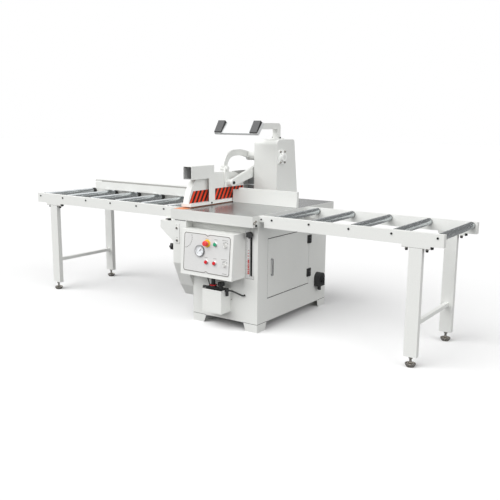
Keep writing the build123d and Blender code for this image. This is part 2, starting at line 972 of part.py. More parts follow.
with BuildPart() as guard_hood:
    extrude(hood_outline(hood_left, 0), amount=hood_width)
    inner_width = hood_width - 2 * hood_wall
    extrude(hood_outline(hood_left + hood_wall, hood_wall), amount=inner_width, mode=Mode.SUBTRACT)
    # Post on the hood's right wall, up to the upper arm's pin
    post_left = arm_right + side_clearance
    with BuildSketch(side(post_left)) as post:
        with Locations((upper_front_pivot[0], table_top + (post_low + post_bend) / 2)):
            Rectangle(post_width, post_bend - post_low)
        with Locations(upper_front_pivot):
            Circle(post_eye_radius)
        make_hull()
    extrude(post.sketch, amount=post_thickness)
    pin_hole = front_pin_radius + running_clearance
    rod(side(post_left), upper_front_pivot, pin_hole, post_thickness, Mode.SUBTRACT)
    # Boss that the lower arm's bolt turns in
    boss_length = lower_arm_left - side_clearance - hood_right + hood_wall
    rod(side(hood_right - hood_wall), lower_front_pivot, lower_arm_front_radius, boss_length)
    rod(
        side(lower_arm_left - side_clearance),
        lower_front_pivot,
        lower_bolt_radius + running_clearance,
        -lower_bolt_depth,
        Mode.SUBTRACT,
    )

# Pressure shoe: a bar along each lower edge of the hood, joined round its front

with BuildPart() as shoe:
    shoe_left = hood_left - shoe_left_width
    shoe_right = hood_right + shoe_right_width
    block(plan(shoe_bottom), (hood_right - hood_wall, shoe_front), (shoe_right, hood_rear), shoe_height)
    block(plan(shoe_bottom), (shoe_left, shoe_front), (hood_left + hood_wall, hood_rear), shoe_height)
    block(plan(shoe_bottom), (shoe_left, shoe_front), (shoe_right, hood_front + hood_wall), shoe_height)
save(Compound([guard_hood.part.solid(), shoe.part.solid()]), "guard_hood")

# Yoke: a square tube on the hood's shelf, with a leg down to the right shoe

yoke_left = hood_left + yoke_inset
yoke_right = yoke_left + yoke_width

with BuildPart() as holddown_yoke:
    tube_top = hood_shelf + yoke_height
    block(
        front(yoke_front + yoke_length),
        (yoke_left, hood_shelf),
        (yoke_right, tube_top),
        yoke_length,
    )
    block(
        front(yoke_front + yoke_length - yoke_wall),
        (yoke_left + yoke_wall, hood_shelf + yoke_wall),
        (yoke_right - yoke_wall, tube_top - yoke_wall),
        yoke_length,
        Mode.SUBTRACT,
    )
    shoe_side = hood_right + shoe_right_width
    block(
        side(shoe_side),
        (yoke_front + yoke_length - yoke_leg_width, shoe_bottom),
        (yoke_front + yoke_length, hood_shelf + yoke_wall),
        yoke_right - shoe_side,
    )
save(holddown_yoke.part, "holddown_yoke")

# Chip screen: a folded sheet on the table, beside and behind the guard, up to the column

with BuildPart() as chip_screen:
    screen_left = blade_x - screen_offset
    block(
        plan(table_top),
        (screen_left, screen_front),
        (screen_left + screen_wall, screen_rear + screen_wall),
        screen_height,
    )
    block(
        plan(table_top),
        (screen_left, screen_rear),
        (column_left, screen_rear + screen_wall),
        screen_height,
    )
save(chip_screen.part, "chip_screen")

# Right fence: a thick bar on the table with a lower step beside the blade

with BuildPart() as right_fence:
    fence_top = table_top + right_fence_height
    outline_points = [
        (right_fence_left, table_top),
        (right_fence_right, table_top),
        (right_fence_right, fence_top),
        (right_fence_left + right_fence_step_length, fence_top),
        (right_fence_left + right_fence_step_length, fence_top - right_fence_step),
        (right_fence_left, fence_top - right_fence_step),
    ]
    prism(front(fence_face + right_fence_thickness), outline_points, right_fence_thickness)
    fillet(right_fence.edges().filter_by(Axis.Z).sort_by(Axis.X)[-2:], right_fence_round)
save(right_fence.part, "right_fence")

# Left fence: a long box with a grooved front, on brackets from the rear rail between rollers

with BuildPart() as left_fence:
    low = table_top + left_fence_lift
    high = low + left_fence_height
    back = fence_face + left_fence_thickness
    length = left_fence_right - left_fence_left
    block(side(left_fence_left), (fence_face, low), (back, high), length)
    block(
        side(left_fence_left),
        (fence_face + left_fence_wall + left_fence_groove, low + left_fence_wall),
        (back - left_fence_wall, high - left_fence_wall),
        length,
        Mode.SUBTRACT,
    )
    groove_high = high - left_fence_groove_drop
    block(
        side(left_fence_left),
        (fence_face, groove_high - left_fence_groove),
        (fence_face + left_fence_wall, groove_high),
        length,
        Mode.SUBTRACT,
    )
    for x in (left_roller_places[0], left_roller_places[3]):
        middle = x - left_pitch / 2
        block(
            plan(rail_top),
            (middle - fence_bracket_width / 2, fence_face + left_fence_groove),
            (middle + fence_bracket_width / 2, conveyor_width - rail_wall),
            low - rail_top,
        )
save(left_fence.part, "left_fence")

# Conveyor rails: box tubes drilled for the axles; the right pair has a bolted tongue at the table

axle_hole = axle_radius + running_clearance


def rail(x_low, x_high, y_low, places, notch):
    """One rail between two places, with its axle holes and an optional notch at the table."""
    with BuildPart() as tube:
        block(side(x_low), (y_low, rail_bottom), (y_low + rail_depth, rail_top), x_high - x_low)
        block(
            side(x_low),
            (y_low + rail_wall, rail_bottom + rail_wall),
            (y_low + rail_depth - rail_wall, rail_top - rail_wall),
            x_high - x_low,
            Mode.SUBTRACT,
        )
        for x in (x_low, x_high - rail_wall):
            block(side(x), (y_low, rail_bottom), (y_low + rail_depth, rail_top), rail_wall)
        if notch:
            block(
                side(x_low),
                (y_low, rail_bottom),
                (y_low + rail_depth, rail_top - rail_tongue_height),
                rail_tongue_length,
                Mode.SUBTRACT,
            )
            block(
                plan(rail_top - rail_tongue_height),
                (x_low, y_low),
                (x_low + rail_tongue_length, y_low + rail_depth),
                rail_wall,
            )
            block(
                side(x_low + rail_tongue_length),
                (y_low, rail_bottom),
                (y_low + rail_depth, rail_top),
                rail_wall,
            )
        for x in places:
            rod(front(y_low + rail_depth), (x, axle_z), axle_hole, rail_depth, Mode.SUBTRACT)
    return tube.part.solid()


left_rails = [rail(-left_reach, -table_half_width, y, left_roller_places, False) for y in (0, rear_rail)]
right_rails = [rail(table_half_width, right_reach, y, right_roller_places, True) for y in (0, rear_rail)]
save(Compound(left_rails), "left_rails")
save(Compound(right_rails), "right_rails")

# Axles: a through bar with a screw head outside each rail

axles = []
for x in left_roller_places + right_roller_places:
    with BuildPart() as axle:
        rod(front(conveyor_width), (x, axle_z), axle_radius, conveyor_width)
        rod(front(conveyor_width), (x, axle_z), axle_head_radius, -axle_head_height)
        rod(front(0), (x, axle_z), axle_head_radius, axle_head_height)
    axles.append(axle.part.solid())
save(Compound(axles), "roller_axles")

# Rollers: steel tubes with bearing caps, free on their axles

roller_start = rail_depth + roller_end_gap
roller_length = conveyor_width - 2 * roller_start


def roller(name, x):
    """One roller at a place along the conveyor."""
    back = roller_start + roller_length
    centre = (x, axle_z)
    with BuildPart() as tube:
        rod(front(back), centre, roller_radius, roller_length)
        hollow_length = roller_length - 2 * roller_cap
        rod(front(back - roller_cap), centre, roller_radius - roller_wall, hollow_length, Mode.SUBTRACT)
        rod(front(back), centre, axle_hole, roller_length, Mode.SUBTRACT)
    save(tube.part, name)


for i, x in enumerate(left_roller_places):
    roller(f"left_roller_{i + 1}", x)
for i, x in enumerate(right_roller_places):
    roller(f"right_roller_{i + 1}", x)

# Legs: two box legs with a top plate each, and a stretcher between them, at both outer ends

leg_places = (-left_reach + left_leg_inset, right_reach - right_leg_inset)
leg_rows = (0, conveyor_width - leg_depth)
foot_hole = stud_radius + running_clearance
legs = []
for x in leg_places:
    for y_low in leg_rows:
        with BuildPart() as leg:
            low = (x - leg_width / 2, y_low)
            high = (x + leg_width / 2, y_low + leg_depth)
            leg_height = rail_bottom - leg_floor_gap
            block(plan(leg_floor_gap), low, high, leg_height)
            block(
                plan(leg_floor_gap + leg_plate_thickness),
                (low[0] + leg_wall, low[1] + leg_wall),
                (high[0] - leg_wall, high[1] - leg_wall),
                leg_height - 2 * leg_plate_thickness,
                Mode.SUBTRACT,
            )
            block(
                plan(rail_bottom - leg_plate_thickness),
                (x - leg_plate_length / 2, y_low),
                (x + leg_plate_length / 2, y_low + leg_depth),
                leg_plate_thickness,
            )
            stud_place = (x, y_low + leg_depth / 2)
            rod(plan(leg_floor_gap), stud_place, foot_hole, leg_plate_thickness, Mode.SUBTRACT)
        legs.append(leg.part.solid())
    with BuildPart() as stretcher:
        block(
            front(leg_rows[1]),
            (x - stretcher_size / 2, stretcher_height - stretcher_size / 2),
            (x + stretcher_size / 2, stretcher_height + stretcher_size / 2),
            leg_rows[1] - leg_depth,
        )
    legs.append(stretcher.part.solid())
save(Compound(legs), "conveyor_legs")

# Levelling feet: a dished pad on a stud, locked by a nut under the leg

feet = []
for x in leg_places:
    for y_low in leg_rows:
        place = (x, y_low + leg_depth / 2)
        with BuildPart() as foot:
            with BuildSketch(PLAN) as pad_base:
                with Locations(place):
                    Circle(pad_base_radius)
            with BuildSketch(plan(pad_height - pad_rim)) as pad_flare:
                with Locations(place):
                    Circle(pad_radius)
            loft([pad_base.sketch.face(), pad_flare.sketch.face()])
            rod(plan(pad_height - pad_rim), place, pad_radius, pad_rim)
            rod(plan(pad_height - pad_dish), place, pad_radius - pad_rim_width, pad_dish, Mode.SUBTRACT)
            rod(plan(pad_height - pad_dish), place, pad_boss_radius, pad_boss_height - pad_height + pad_dish)
            foot_stud = leg_floor_gap + leg_plate_thickness - pad_boss_height
            rod(plan(pad_boss_height), place, stud_radius, foot_stud)
            with BuildSketch(plan(leg_floor_gap - stud_nut_height)) as nut:
                with Locations(place):
                    RegularPolygon(stud_nut_radius, 6)
            extrude(nut.sketch, amount=stud_nut_height)
        feet.append(foot.part.solid())
save(Compound(feet), "levelling_feet")

# Blade housing: a narrow sheet case under the slot, falling to a hopper, with a dust spigot at the back

housing_right = -cabinet_left
housing_left = housing_right - housing_width
housing_middle = (housing_left + housing_right) / 2
spigot_centre = (housing_middle, spigot_height)


def housing_points(inset):
    """Side outline of the housing and its hopper, drawn in by an inset."""
    return [
        (-table_front + inset, apron_bottom),
        (-table_front + inset, housing_break_height),
        (hopper_break + inset, hopper_break_height),
        (hopper_front + inset, hopper_bottom + inset),
        (hopper_rear - inset, hopper_bottom + inset),
        (housing_rear - inset, housing_break_height),
        (housing_rear - inset, apron_bottom),
    ]


with BuildPart() as blade_housing:
    prism(side(housing_left), housing_points(0), housing_width)
    inner_width = housing_width - 2 * housing_wall
    prism(side(housing_left + housing_wall), housing_points(housing_wall), inner_width, Mode.SUBTRACT)
    # The side towards the cabinet is open behind the cabinet's front, where the arbor comes through
    block(
        side(housing_right - housing_wall),
        (arbor_y - margin, arbor_z - margin),
        (raised_y + margin, apron_bottom),
        housing_wall,
        Mode.SUBTRACT,
    )
    rod(front(housing_rear), spigot_centre, spigot_radius, -spigot_length)
    spigot_through = spigot_length + housing_wall
    rod(
        front(housing_rear + spigot_length),
        spigot_centre,
        spigot_radius - spigot_wall,
        spigot_through,
        Mode.SUBTRACT,
    )
    knob_place = (-table_front + housing_knob_setback, housing_knob_height)
    knob_hole = star_knob_stem_radius + running_clearance
    rod(side(housing_left), knob_place, knob_hole, housing_wall, Mode.SUBTRACT)

# Bracket that carries the near end of the left conveyor

with BuildPart() as conveyor_bracket:
    bracket_left = housing_left - bracket_reach
    bracket_points = [
        (bracket_left, bracket_top),
        (bracket_left, bracket_top - bracket_lip),
        (housing_left, bracket_top - bracket_height),
        (housing_left, bracket_top),
    ]
    bracket_back = -table_front + bracket_depth
    prism(front(bracket_back), bracket_points, bracket_depth)
    hollow_points = [
        (bracket_left + bracket_wall, bracket_top - bracket_wall),
        (bracket_left + bracket_wall, bracket_top - bracket_lip + bracket_lip_wall),
        (housing_left, bracket_top - bracket_height + bracket_slope_wall),
        (housing_left, bracket_top - bracket_wall),
    ]
    prism(front(bracket_back), hollow_points, bracket_depth - bracket_wall, Mode.SUBTRACT)
    # Pad that meets the underside of the rail
    block(
        plan(bracket_top),
        (bracket_left, 0),
        (housing_left, bracket_back),
        rail_bottom - bracket_top,
    )
save(Compound([blade_housing.part.solid(), conveyor_bracket.part.solid()]), "blade_housing")

# Star knob that holds the housing's side cover

with BuildPart() as housing_knob:
    knob_plane = Plane(
        (x_table + housing_left - side_clearance, y_rail, 0), x_dir=(0, -1, 0), z_dir=(-1, 0, 0)
    )
    star_knob(knob_plane, (-knob_place[0], knob_place[1]))
save(housing_knob.part, "housing_knob")

# Saw blade: a disc with cut gullets, on the arbor

arbor_centre = (arbor_y, arbor_z)

with BuildPart() as saw_blade:
    with BuildSketch(side(blade_x - blade_thickness / 2)) as disc:
        with Locations(arbor_centre):
            Circle(blade_radius)
            tooth_pitch = 2 * pi * blade_radius / blade_teeth
            with PolarLocations(blade_radius, blade_teeth):
                Rectangle(tooth_pitch / 2, tooth_pitch / 4, mode=Mode.SUBTRACT)
            Circle(arbor_radius, mode=Mode.SUBTRACT)
    extrude(disc.sketch, amount=blade_thickness)
save(saw_blade.part, "saw_blade")

# Arbor: shaft with blade flanges, spacer and belt pulley

bearing_left = swing_plate_x - bearing_length / 2
bearing_right = bearing_left + bearing_length
pulley_left = pulley_x - pulley_width / 2


def pulley(centre, radius):
    """Belt pulley: a groove between two rims."""
    rim = (pulley_width - belt_width) / 2 - side_clearance
    rod(side(pulley_left), centre, radius, pulley_width)
    for x in (pulley_left, pulley_left + pulley_width - rim):
        rod(side(x), centre, radius + pulley_rim, rim)


with BuildPart() as arbor_shaft:
    blade_right = blade_x + blade_thickness / 2
    blade_left = blade_x - blade_thickness / 2
    shaft_left = blade_left - 2 * arbor_flange_thickness
    rod(side(shaft_left), arbor_centre, arbor_radius, pulley_left + pulley_width - shaft_left)
    rod(side(blade_left), arbor_centre, arbor_flange_radius, -arbor_flange_thickness)
    rod(side(blade_right), arbor_centre, arbor_flange_radius, arbor_flange_thickness)
    rod(side(blade_right), arbor_centre, arbor_spacer_radius, bearing_left - side_clearance - blade_right)
    pulley(arbor_centre, arbor_pulley_radius)
save(arbor_shaft.part, "arbor_shaft")

# Swing arm: plate between the pivot ring and the arbor bearing, with a slotted lug for the lift cylinder

lug_angle = swing_angle / 2
lug_far = lift_reach / cos(lug_angle)
lug_middle = (lift_reach + lug_far) / 2
lug_place = (swing_pivot_y - lug_middle * cos(lug_angle), swing_pivot_z - lug_middle * sin(lug_angle))
lift_pin = (swing_pivot_y - lift_reach, swing_pivot_z - lift_reach * tan(lug_angle))

with BuildPart() as saw_arm:
    plate_left = swing_plate_x - swing_plate_thickness / 2
    link(
        side(plate_left),
        pivot_centre,
        swing_ring_radius,
        arbor_centre,
        swing_boss_radius,
        swing_plate_thickness,
    )
    rod(side(ring_left), pivot_centre, swing_ring_radius, swing_ring_width)
    rod(side(bearing_left), arbor_centre, swing_boss_radius, bearing_length)
    lug_root = ((pivot_centre[0] + arbor_centre[0]) / 2, (pivot_centre[1] + arbor_centre[1]) / 2)
    link(side(swing_plate_x - lug_thickness / 2), lug_place, lug_radius, lug_root, lug_radius, lug_thickness)
    with BuildSketch(side(swing_plate_x - lug_thickness / 2)) as lug_slot:
        slot_width = 2 * (lift_pin_radius + lift_pin_play)
        with Locations(Location((lug_place[0], lug_place[1], 0), (0, 0, degrees(lug_angle)))):
            SlotOverall(lug_far - lift_reach + slot_width + lift_pin_play, slot_width)
    extrude(lug_slot.sketch, amount=lug_thickness, mode=Mode.SUBTRACT)
    stub_hole = pivot_stub_radius + running_clearance
    rod(side(ring_left), pivot_centre, stub_hole, swing_ring_width, Mode.SUBTRACT)
    arbor_hole = arbor_radius + running_clearance
    rod(side(bearing_left), arbor_centre, arbor_hole, bearing_length, Mode.SUBTRACT)
save(saw_arm.part, "saw_arm")

# Drive belt round both pulleys; the swing arm turns about the motor's axis, so its length holds

with BuildPart() as drive_belt:
    belt_left = pulley_x - belt_width / 2
    motor_wrap = motor_pulley_radius + press_gap
    arbor_wrap = arbor_pulley_radius + press_gap
    link(
        side(belt_left),
        pivot_centre,
        motor_wrap + belt_thickness,
        arbor_centre,
        arbor_wrap + belt_thickness,
        belt_width,
    )
    link(side(belt_left), pivot_centre, motor_wrap, arbor_centre, arbor_wrap, belt_width, Mode.SUBTRACT)
save(drive_belt.part, "drive_belt")

# Motor on a welded pedestal

motor_left = pulley_left + pulley_width + motor_gap

with BuildPart() as motor:
    rod(side(motor_left), pivot_centre, motor_radius, motor_length)
    fillet(motor.edges().filter_by(GeomType.CIRCLE), motor_round)
    pedestal_left = motor_left + (motor_length - pedestal_width) / 2
    pedestal_front = swing_pivot_y - pedestal_depth / 2
    pedestal_low = foot_height + floor_plate
    block(
        plan(pedestal_low),
        (pedestal_left, pedestal_front),
        (pedestal_left + pedestal_width, pedestal_front + pedestal_depth),
        swing_pivot_z - pedestal_low,
    )
    block(
        plan(pedestal_low),
        (pedestal_left + pedestal_wall, pedestal_front + pedestal_wall),
        (pedestal_left + pedestal_width - pedestal_wall, pedestal_front + pedestal_depth - pedestal_wall),
        swing_pivot_z - motor_radius - pedestal_wall - pedestal_low,
        Mode.SUBTRACT,
    )
    shaft_socket = motor_shaft_radius + running_clearance
    rod(side(motor_left), pivot_centre, shaft_socket, motor_socket, Mode.SUBTRACT)
save(motor.part, "motor")

with BuildPart() as motor_pulley:
    pulley(pivot_centre, motor_pulley_radius)
    rod(side(pulley_left), pivot_centre, motor_shaft_radius, pulley_width + motor_socket)
save(motor_pulley.part, "motor_pulley")

# Lift cylinder on the cabinet's floor, and its rod with piston and fork

cylinder_place = (swing_plate_x, lift_pin[0])
fork_low = lift_pin[1] - fork_depth - fork_base
barrel_low = foot_height + floor_plate
barrel_top = fork_low - lift_barrel_top_gap

with BuildPart() as lift_cylinder:
    block(
        plan(barrel_low),
        (cylinder_place[0] - lift_foot_half, cylinder_place[1] - lift_foot_half),
        (cylinder_place[0] + lift_foot_half, cylinder_place[1] + lift_foot_half),
        lift_foot_thickness,
    )
    rod(plan(barrel_low), cylinder_place, lift_barrel_radius, barrel_top - barrel_low)
    bore_low = barrel_low + lift_foot_thickness
    rod(plan(bore_low), cylinder_place, lift_bore_radius, barrel_top - lift_cap - bore_low, Mode.SUBTRACT)
    rod_hole = lift_rod_radius + running_clearance
    rod(plan(bore_low), cylinder_place, rod_hole, barrel_top - bore_low, Mode.SUBTRACT)
save(lift_cylinder.part, "lift_cylinder")

with BuildPart() as lift_rod:
    piston_low = bore_low + side_clearance
    rod(plan(piston_low), cylinder_place, lift_bore_radius - running_clearance, piston_height)
    rod(plan(piston_low), cylinder_place, lift_rod_radius, fork_low - piston_low)
    fork_half = lug_thickness / 2 + fork_cheek_gap + fork_cheek_thickness
    block(
        plan(fork_low),
        (cylinder_place[0] - fork_half, cylinder_place[1] - fork_cheek_radius),
        (cylinder_place[0] + fork_half, cylinder_place[1] + fork_cheek_radius),
        fork_base,
    )
    for x in (cylinder_place[0] - fork_half, cylinder_place[0] + fork_half - fork_cheek_thickness):
        block(
            plan(fork_low + fork_base),
            (x, cylinder_place[1] - fork_cheek_radius),
            (x + fork_cheek_thickness, cylinder_place[1] + fork_cheek_radius),
            fork_depth,
        )
        rod(side(x), lift_pin, fork_cheek_radius, fork_cheek_thickness)
    rod(side(cylinder_place[0] - fork_half), lift_pin, lift_pin_radius, 2 * fork_half)
save(lift_rod.part, "lift_rod")

# Control box: a sheet case with a leaning front

with BuildPart() as control_box:
    case_points = [
        (0, box_bottom),
        (0, box_bottom + box_height),
        (-box_depth_top, box_bottom + box_height),
        (-box_depth_bottom, box_bottom),
    ]
    hollow_points = [
        (0, box_bottom + box_wall),
        (0, box_bottom + box_height - box_wall),
        (-box_depth_top + box_wall, box_bottom + box_height - box_wall),
        (-box_depth_bottom + box_wall, box_bottom + box_wall),
    ]
    prism(side(box_left), case_points, box_right - box_left)
    prism(side(box_left + box_wall), hollow_points, box_right - box_left - 2 * box_wall, Mode.SUBTRACT)
    stems = [
        (controls_first_column, controls_top_row),
        (controls_second_column, controls_top_row),
        (controls_third_column, controls_top_row),
        (controls_first_column, controls_bottom_row),
        (controls_second_column, controls_bottom_row),
        (controls_third_column, controls_bottom_row),
    ]
    for place in stems:
        rod(PANEL, place, button_hole_radius, -2 * box_wall, Mode.SUBTRACT)
    hose_place = (pilot_hose_x, -air_depth / 2)
    rod(plan(box_bottom), hose_place, pilot_hose_radius + running_clearance, box_wall, Mode.SUBTRACT)
save(control_box.part, "control_box")

# Control panel: cover plate with collars, and the gauge's case

with BuildPart() as control_panel:
    with BuildSketch(PANEL) as cover:
        with Locations((panel_shift_u, panel_shift_v)):
            Rectangle(panel_width, panel_height)
        chamfer(cover.vertices(), panel_corner)
    extrude(cover.sketch, amount=panel_thickness)
    face = PANEL.offset(panel_thickness)
    rod(face, (gauge_u, gauge_v), gauge_radius, gauge_depth)
    rod(face.offset(gauge_floor), (gauge_u, gauge_v), gauge_radius - gauge_rim, gauge_depth, Mode.SUBTRACT)
    rod(face, (gauge_u, gauge_v), gauge_pin_radius, gauge_pin_height)
    rod(face, stems[0], stop_collar_radius, stop_collar_height)
    for place in (stems[1], stems[3], stems[4]):
        rod(face, place, button_collar_radius, button_collar_height)
    for place in stems:
        rod(PANEL, place, stem_radius + running_clearance, stop_height, Mode.SUBTRACT)
save(control_panel.part, "control_panel")

with BuildPart() as gauge_needle:
    needle_plane = face.offset(gauge_floor + side_clearance)
    rod(needle_plane, (gauge_u, gauge_v), needle_hub_radius, needle_thickness)
    with BuildSketch(needle_plane) as pointer:
        with Locations(Location((gauge_u, gauge_v, 0), (0, 0, needle_rest))):
            with Locations((needle_length / 2 - needle_tail, 0)):
                Rectangle(needle_length, needle_width)
    extrude(pointer.sketch, amount=needle_thickness)
    needle_hole = gauge_pin_radius + running_clearance
    rod(needle_plane, (gauge_u, gauge_v), needle_hole, gauge_depth, Mode.SUBTRACT)
save(gauge_needle.part, "gauge_needle")

# Push buttons: a cap that travels into its collar on a stem

with BuildPart() as emergency_stop_button:
    neck = face.offset(stop_collar_height)
    rod(neck, stems[0], stem_radius, -stem_length)
    rod(neck.offset(stop_travel + side_clearance), stems[0], stop_neck_radius, stop_neck_height - stop_travel)
    rod(neck, stems[0], stem_radius, stop_travel + side_clearance)
    cap = neck.offset(stop_neck_height)
    rod(cap, stems[0], stop_cap_radius, stop_cap_height)
    fillet(emergency_stop_button.faces().sort_by(Axis.Y)[0].edges(), stop_cap_round)
save(emergency_stop_button.part, "emergency_stop_button")


def push_button(name, place):
    """Flush push button above its collar."""
    with BuildPart() as button:
        top = face.offset(button_collar_height)
        rod(top, place, stem_radius, -stem_length)
        rod(top, place, stem_radius, press_travel + side_clearance)
        rod(top.offset(press_travel + side_clearance), place, button_radius, button_height - press_travel)
        fillet(button.faces().sort_by(Axis.Y)[0].edges(), button_round)
    save(button.part, name)


push_button("start_button", stems[1])
push_button("stop_button", stems[3])
push_button("clamp_button", stems[4])


def selector(name, place):
    """Rotary selector: round base, lever bar and stem."""
    with BuildPart() as switch:
        base = face.offset(press_gap)
        rod(base, place, selector_radius, selector_height)
        rod(base, place, stem_radius, -stem_length)
        lever = base.offset(selector_height)
        block(
            lever,
            (place[0] - selector_lever_width / 2, place[1] - selector_radius),
            (place[0] + selector_lever_width / 2, place[1] + selector_radius),
            selector_lever_height,
        )
    save(switch.part, name)


selector("mode_selector", stems[2])
selector("cycle_selector", stems[5])

# Stroke knob in its slot

with BuildPart() as stroke_knob:
    knob_z = stroke_slot_top - stroke_rest_gap
    star_knob(front(-side_clearance), (stroke_slot_x, knob_z))
save(stroke_knob.part, "stroke_knob")

# Air unit: a sheet cover round the filter bowl, open above

air_middle = -air_depth / 2
body_low = air_top - air_body_sink
body_high = body_low + air_body_height
inlet_z = (body_low + body_high) / 2
outlet_z = inlet_z + outlet_rise

with BuildPart() as air_unit_cover:
    block(plan(air_bottom), (air_left, -air_depth), (air_right, 0), air_top - air_bottom)
    block(
        plan(air_bottom + air_wall),
        (air_left + air_wall, -air_depth + air_wall),
        (air_right - air_wall, -air_wall),
        air_top - air_bottom,
        Mode.SUBTRACT,
    )
    # Notches in both side walls for the inlet and outlet fittings
    for x in (air_left, air_right - air_wall):
        block(
            side(x),
            (air_middle - air_inlet_radius - press_gap, inlet_z - air_inlet_radius - press_gap),
            (air_middle + air_inlet_radius + press_gap, air_top),
            air_wall,
            Mode.SUBTRACT,
        )
save(air_unit_cover.part, "air_unit_cover")

# Filter regulator: body with bowl in the cover, inlet port, outlet elbow and the two air hoses

with BuildPart() as filter_body:
    block(
        plan(body_low),
        (air_left + air_wall + air_body_inset, air_middle - air_body_depth / 2),
        (air_right - air_wall - air_body_inset, air_middle + air_body_depth / 2),
        air_body_height,
    )
    bowl_low = air_bottom + air_wall
    for x in (regulator_x, shutoff_x):
        rod(plan(bowl_low), (x, air_middle), filter_bowl_radius, body_low - bowl_low)
    rod(plan(body_high), (regulator_x, air_middle), regulator_ring_radius, regulator_ring_height)
    rod(plan(body_high), (shutoff_x, air_middle), shutoff_neck_radius, shutoff_neck_height)
    inlet_start = air_left + air_wall + air_body_inset
    inlet_end = air_left - air_inlet_length
    rod(side(inlet_start), (air_middle, inlet_z), air_inlet_radius, inlet_end - inlet_start)
    rod(side(inlet_end), (air_middle, inlet_z), air_port_radius, air_port_depth, Mode.SUBTRACT)
    outlet_start = air_right - air_wall - air_body_inset
    outlet_x = air_right + outlet_elbow_radius + side_clearance
    rod(side(outlet_start), (air_middle, outlet_z), outlet_stub_radius, outlet_x - outlet_start)
    elbow_low = outlet_z - outlet_elbow_drop
    rod(plan(elbow_low), (outlet_x, air_middle), outlet_elbow_radius, outlet_elbow_drop + outlet_elbow_head)
    rod(side(outlet_x), (air_middle, outlet_z), outlet_nozzle_radius, outlet_nozzle_length)


def hose(points, radius):
    """Air hose along straight runs with rounded bends."""
    with BuildPart() as tube:
        with BuildLine() as route:
            FilletPolyline(*points, radius=hose_bend)
        start = Plane(route.line @ 0, z_dir=route.line % 0)
        with BuildSketch(start):
            Circle(radius)
        sweep()
    return tube.part.solid()


def spot(x, y, z):
    """Point of the datum in the part's own frame."""
    return (x_table + x, y_rail + y, z)


nozzle_end = outlet_x + outlet_nozzle_length
outlet_points = [
    spot(nozzle_end, air_middle, outlet_z),
    spot(nozzle_end + outlet_hose_lead, air_middle, outlet_z),
    spot(outlet_hose_x, -outlet_hose_turn, outlet_hose_z),
    spot(outlet_hose_x, cabinet_wall, outlet_hose_z),
]
pilot_points = [
    spot(pilot_hose_x, air_middle, box_bottom + box_wall),
    spot(pilot_hose_x, air_middle, box_bottom - hose_bend),
    spot(pilot_end_x, air_middle, body_high),
]
outlet_hose = hose(outlet_points, outlet_hose_radius)
pilot_hose = hose(pilot_points, pilot_hose_radius)
save(Compound([filter_body.part.solid(), outlet_hose, pilot_hose]), "air_regulator")

with BuildPart() as regulator_knob:
    ring_top = body_high + regulator_ring_height + press_gap
    rod(plan(ring_top), (regulator_x, air_middle), regulator_knob_radius, regulator_knob_height)
    fillet(regulator_knob.faces().sort_by(Axis.Z)[-1].edges(), regulator_knob_round)
save(regulator_knob.part, "regulator_knob")

with BuildPart() as shutoff_knob:
    neck_top = body_high + shutoff_neck_height + press_gap
    rod(plan(neck_top), (shutoff_x, air_middle), shutoff_knob_radius, shutoff_knob_height)
    with BuildSketch(plan(neck_top)) as flutes:
        with Locations((shutoff_x, air_middle)):
            with PolarLocations(shutoff_knob_radius, shutoff_flutes):
                Circle(shutoff_flute_radius)
    extrude(flutes.sketch, amount=shutoff_knob_height, mode=Mode.SUBTRACT)
save(shutoff_knob.part, "shutoff_knob")

# Isolator: a round-topped case with a cable gland below and a turning handle

isolator_middle = isolator_front + isolator_length / 2
isolator_high = isolator_bottom + isolator_height

with BuildPart() as isolator:
    with BuildSketch(side(cabinet_right)) as case:
        arch_low = isolator_high - isolator_length / 2
        with Locations((isolator_middle, (isolator_bottom + arch_low) / 2)):
            Rectangle(isolator_length, arch_low - isolator_bottom)
        with Locations((isolator_middle, arch_low)):
            Circle(isolator_length / 2)
    extrude(case.sketch, amount=isolator_depth)
    gland = (cabinet_right + isolator_depth / 2, isolator_middle)
    rod(plan(isolator_bottom), gland, isolator_neck_radius, -isolator_neck)
    dial = (isolator_middle, isolator_bottom + isolator_height / 2)
    outer_face = side(cabinet_right + isolator_depth)
    rod(outer_face, dial, stem_radius + running_clearance, -stem_length, Mode.SUBTRACT)
save(isolator.part, "isolator")

with BuildPart() as isolator_handle:
    dial_face = outer_face.offset(press_gap)
    rod(dial_face, dial, isolator_dial_radius, isolator_dial_height)
    rod(dial_face, dial, stem_radius, -stem_length)
    block(
        dial_face.offset(isolator_dial_height),
        (dial[0] - isolator_grip_width / 2, dial[1] - isolator_dial_radius),
        (dial[0] + isolator_grip_width / 2, dial[1] + isolator_dial_radius),
        isolator_grip_height,
    )
save(isolator_handle.part, "isolator_handle")

# Lamp arm: a bent square tube on a flange, ending in a drilled tongue

lamp_arm_y = column_front + lamp_arm_setback
arm_centre_z = column_top + lamp_arm_height
half_arm = lamp_arm_size / 2
lamp_pivot = (lamp_pivot_y, arm_centre_z)


def lamp_tube(inset, low):
    """Square tube up from the column and forwards, drawn in by an inset, with its outer corner rounded."""
    reach = half_arm - inset
    points = [
        (lamp_arm_y - reach, low),
        (lamp_arm_y + reach, low),
        (lamp_arm_y + reach, arm_centre_z + reach),
        (lamp_arm_end + inset, arm_centre_z + reach),
        (lamp_arm_end + inset, arm_centre_z - reach),
        (lamp_arm_y - reach, arm_centre_z - reach),
    ]
    with BuildPart() as tube:
        prism(side(column_middle - reach), points, 2 * reach)
        corner = tube.edges().filter_by(Axis.X).group_by(Axis.Z)[-1].sort_by(Axis.Y)[-1]
        fillet(corner, lamp_arm_bend - inset)
    return tube.part


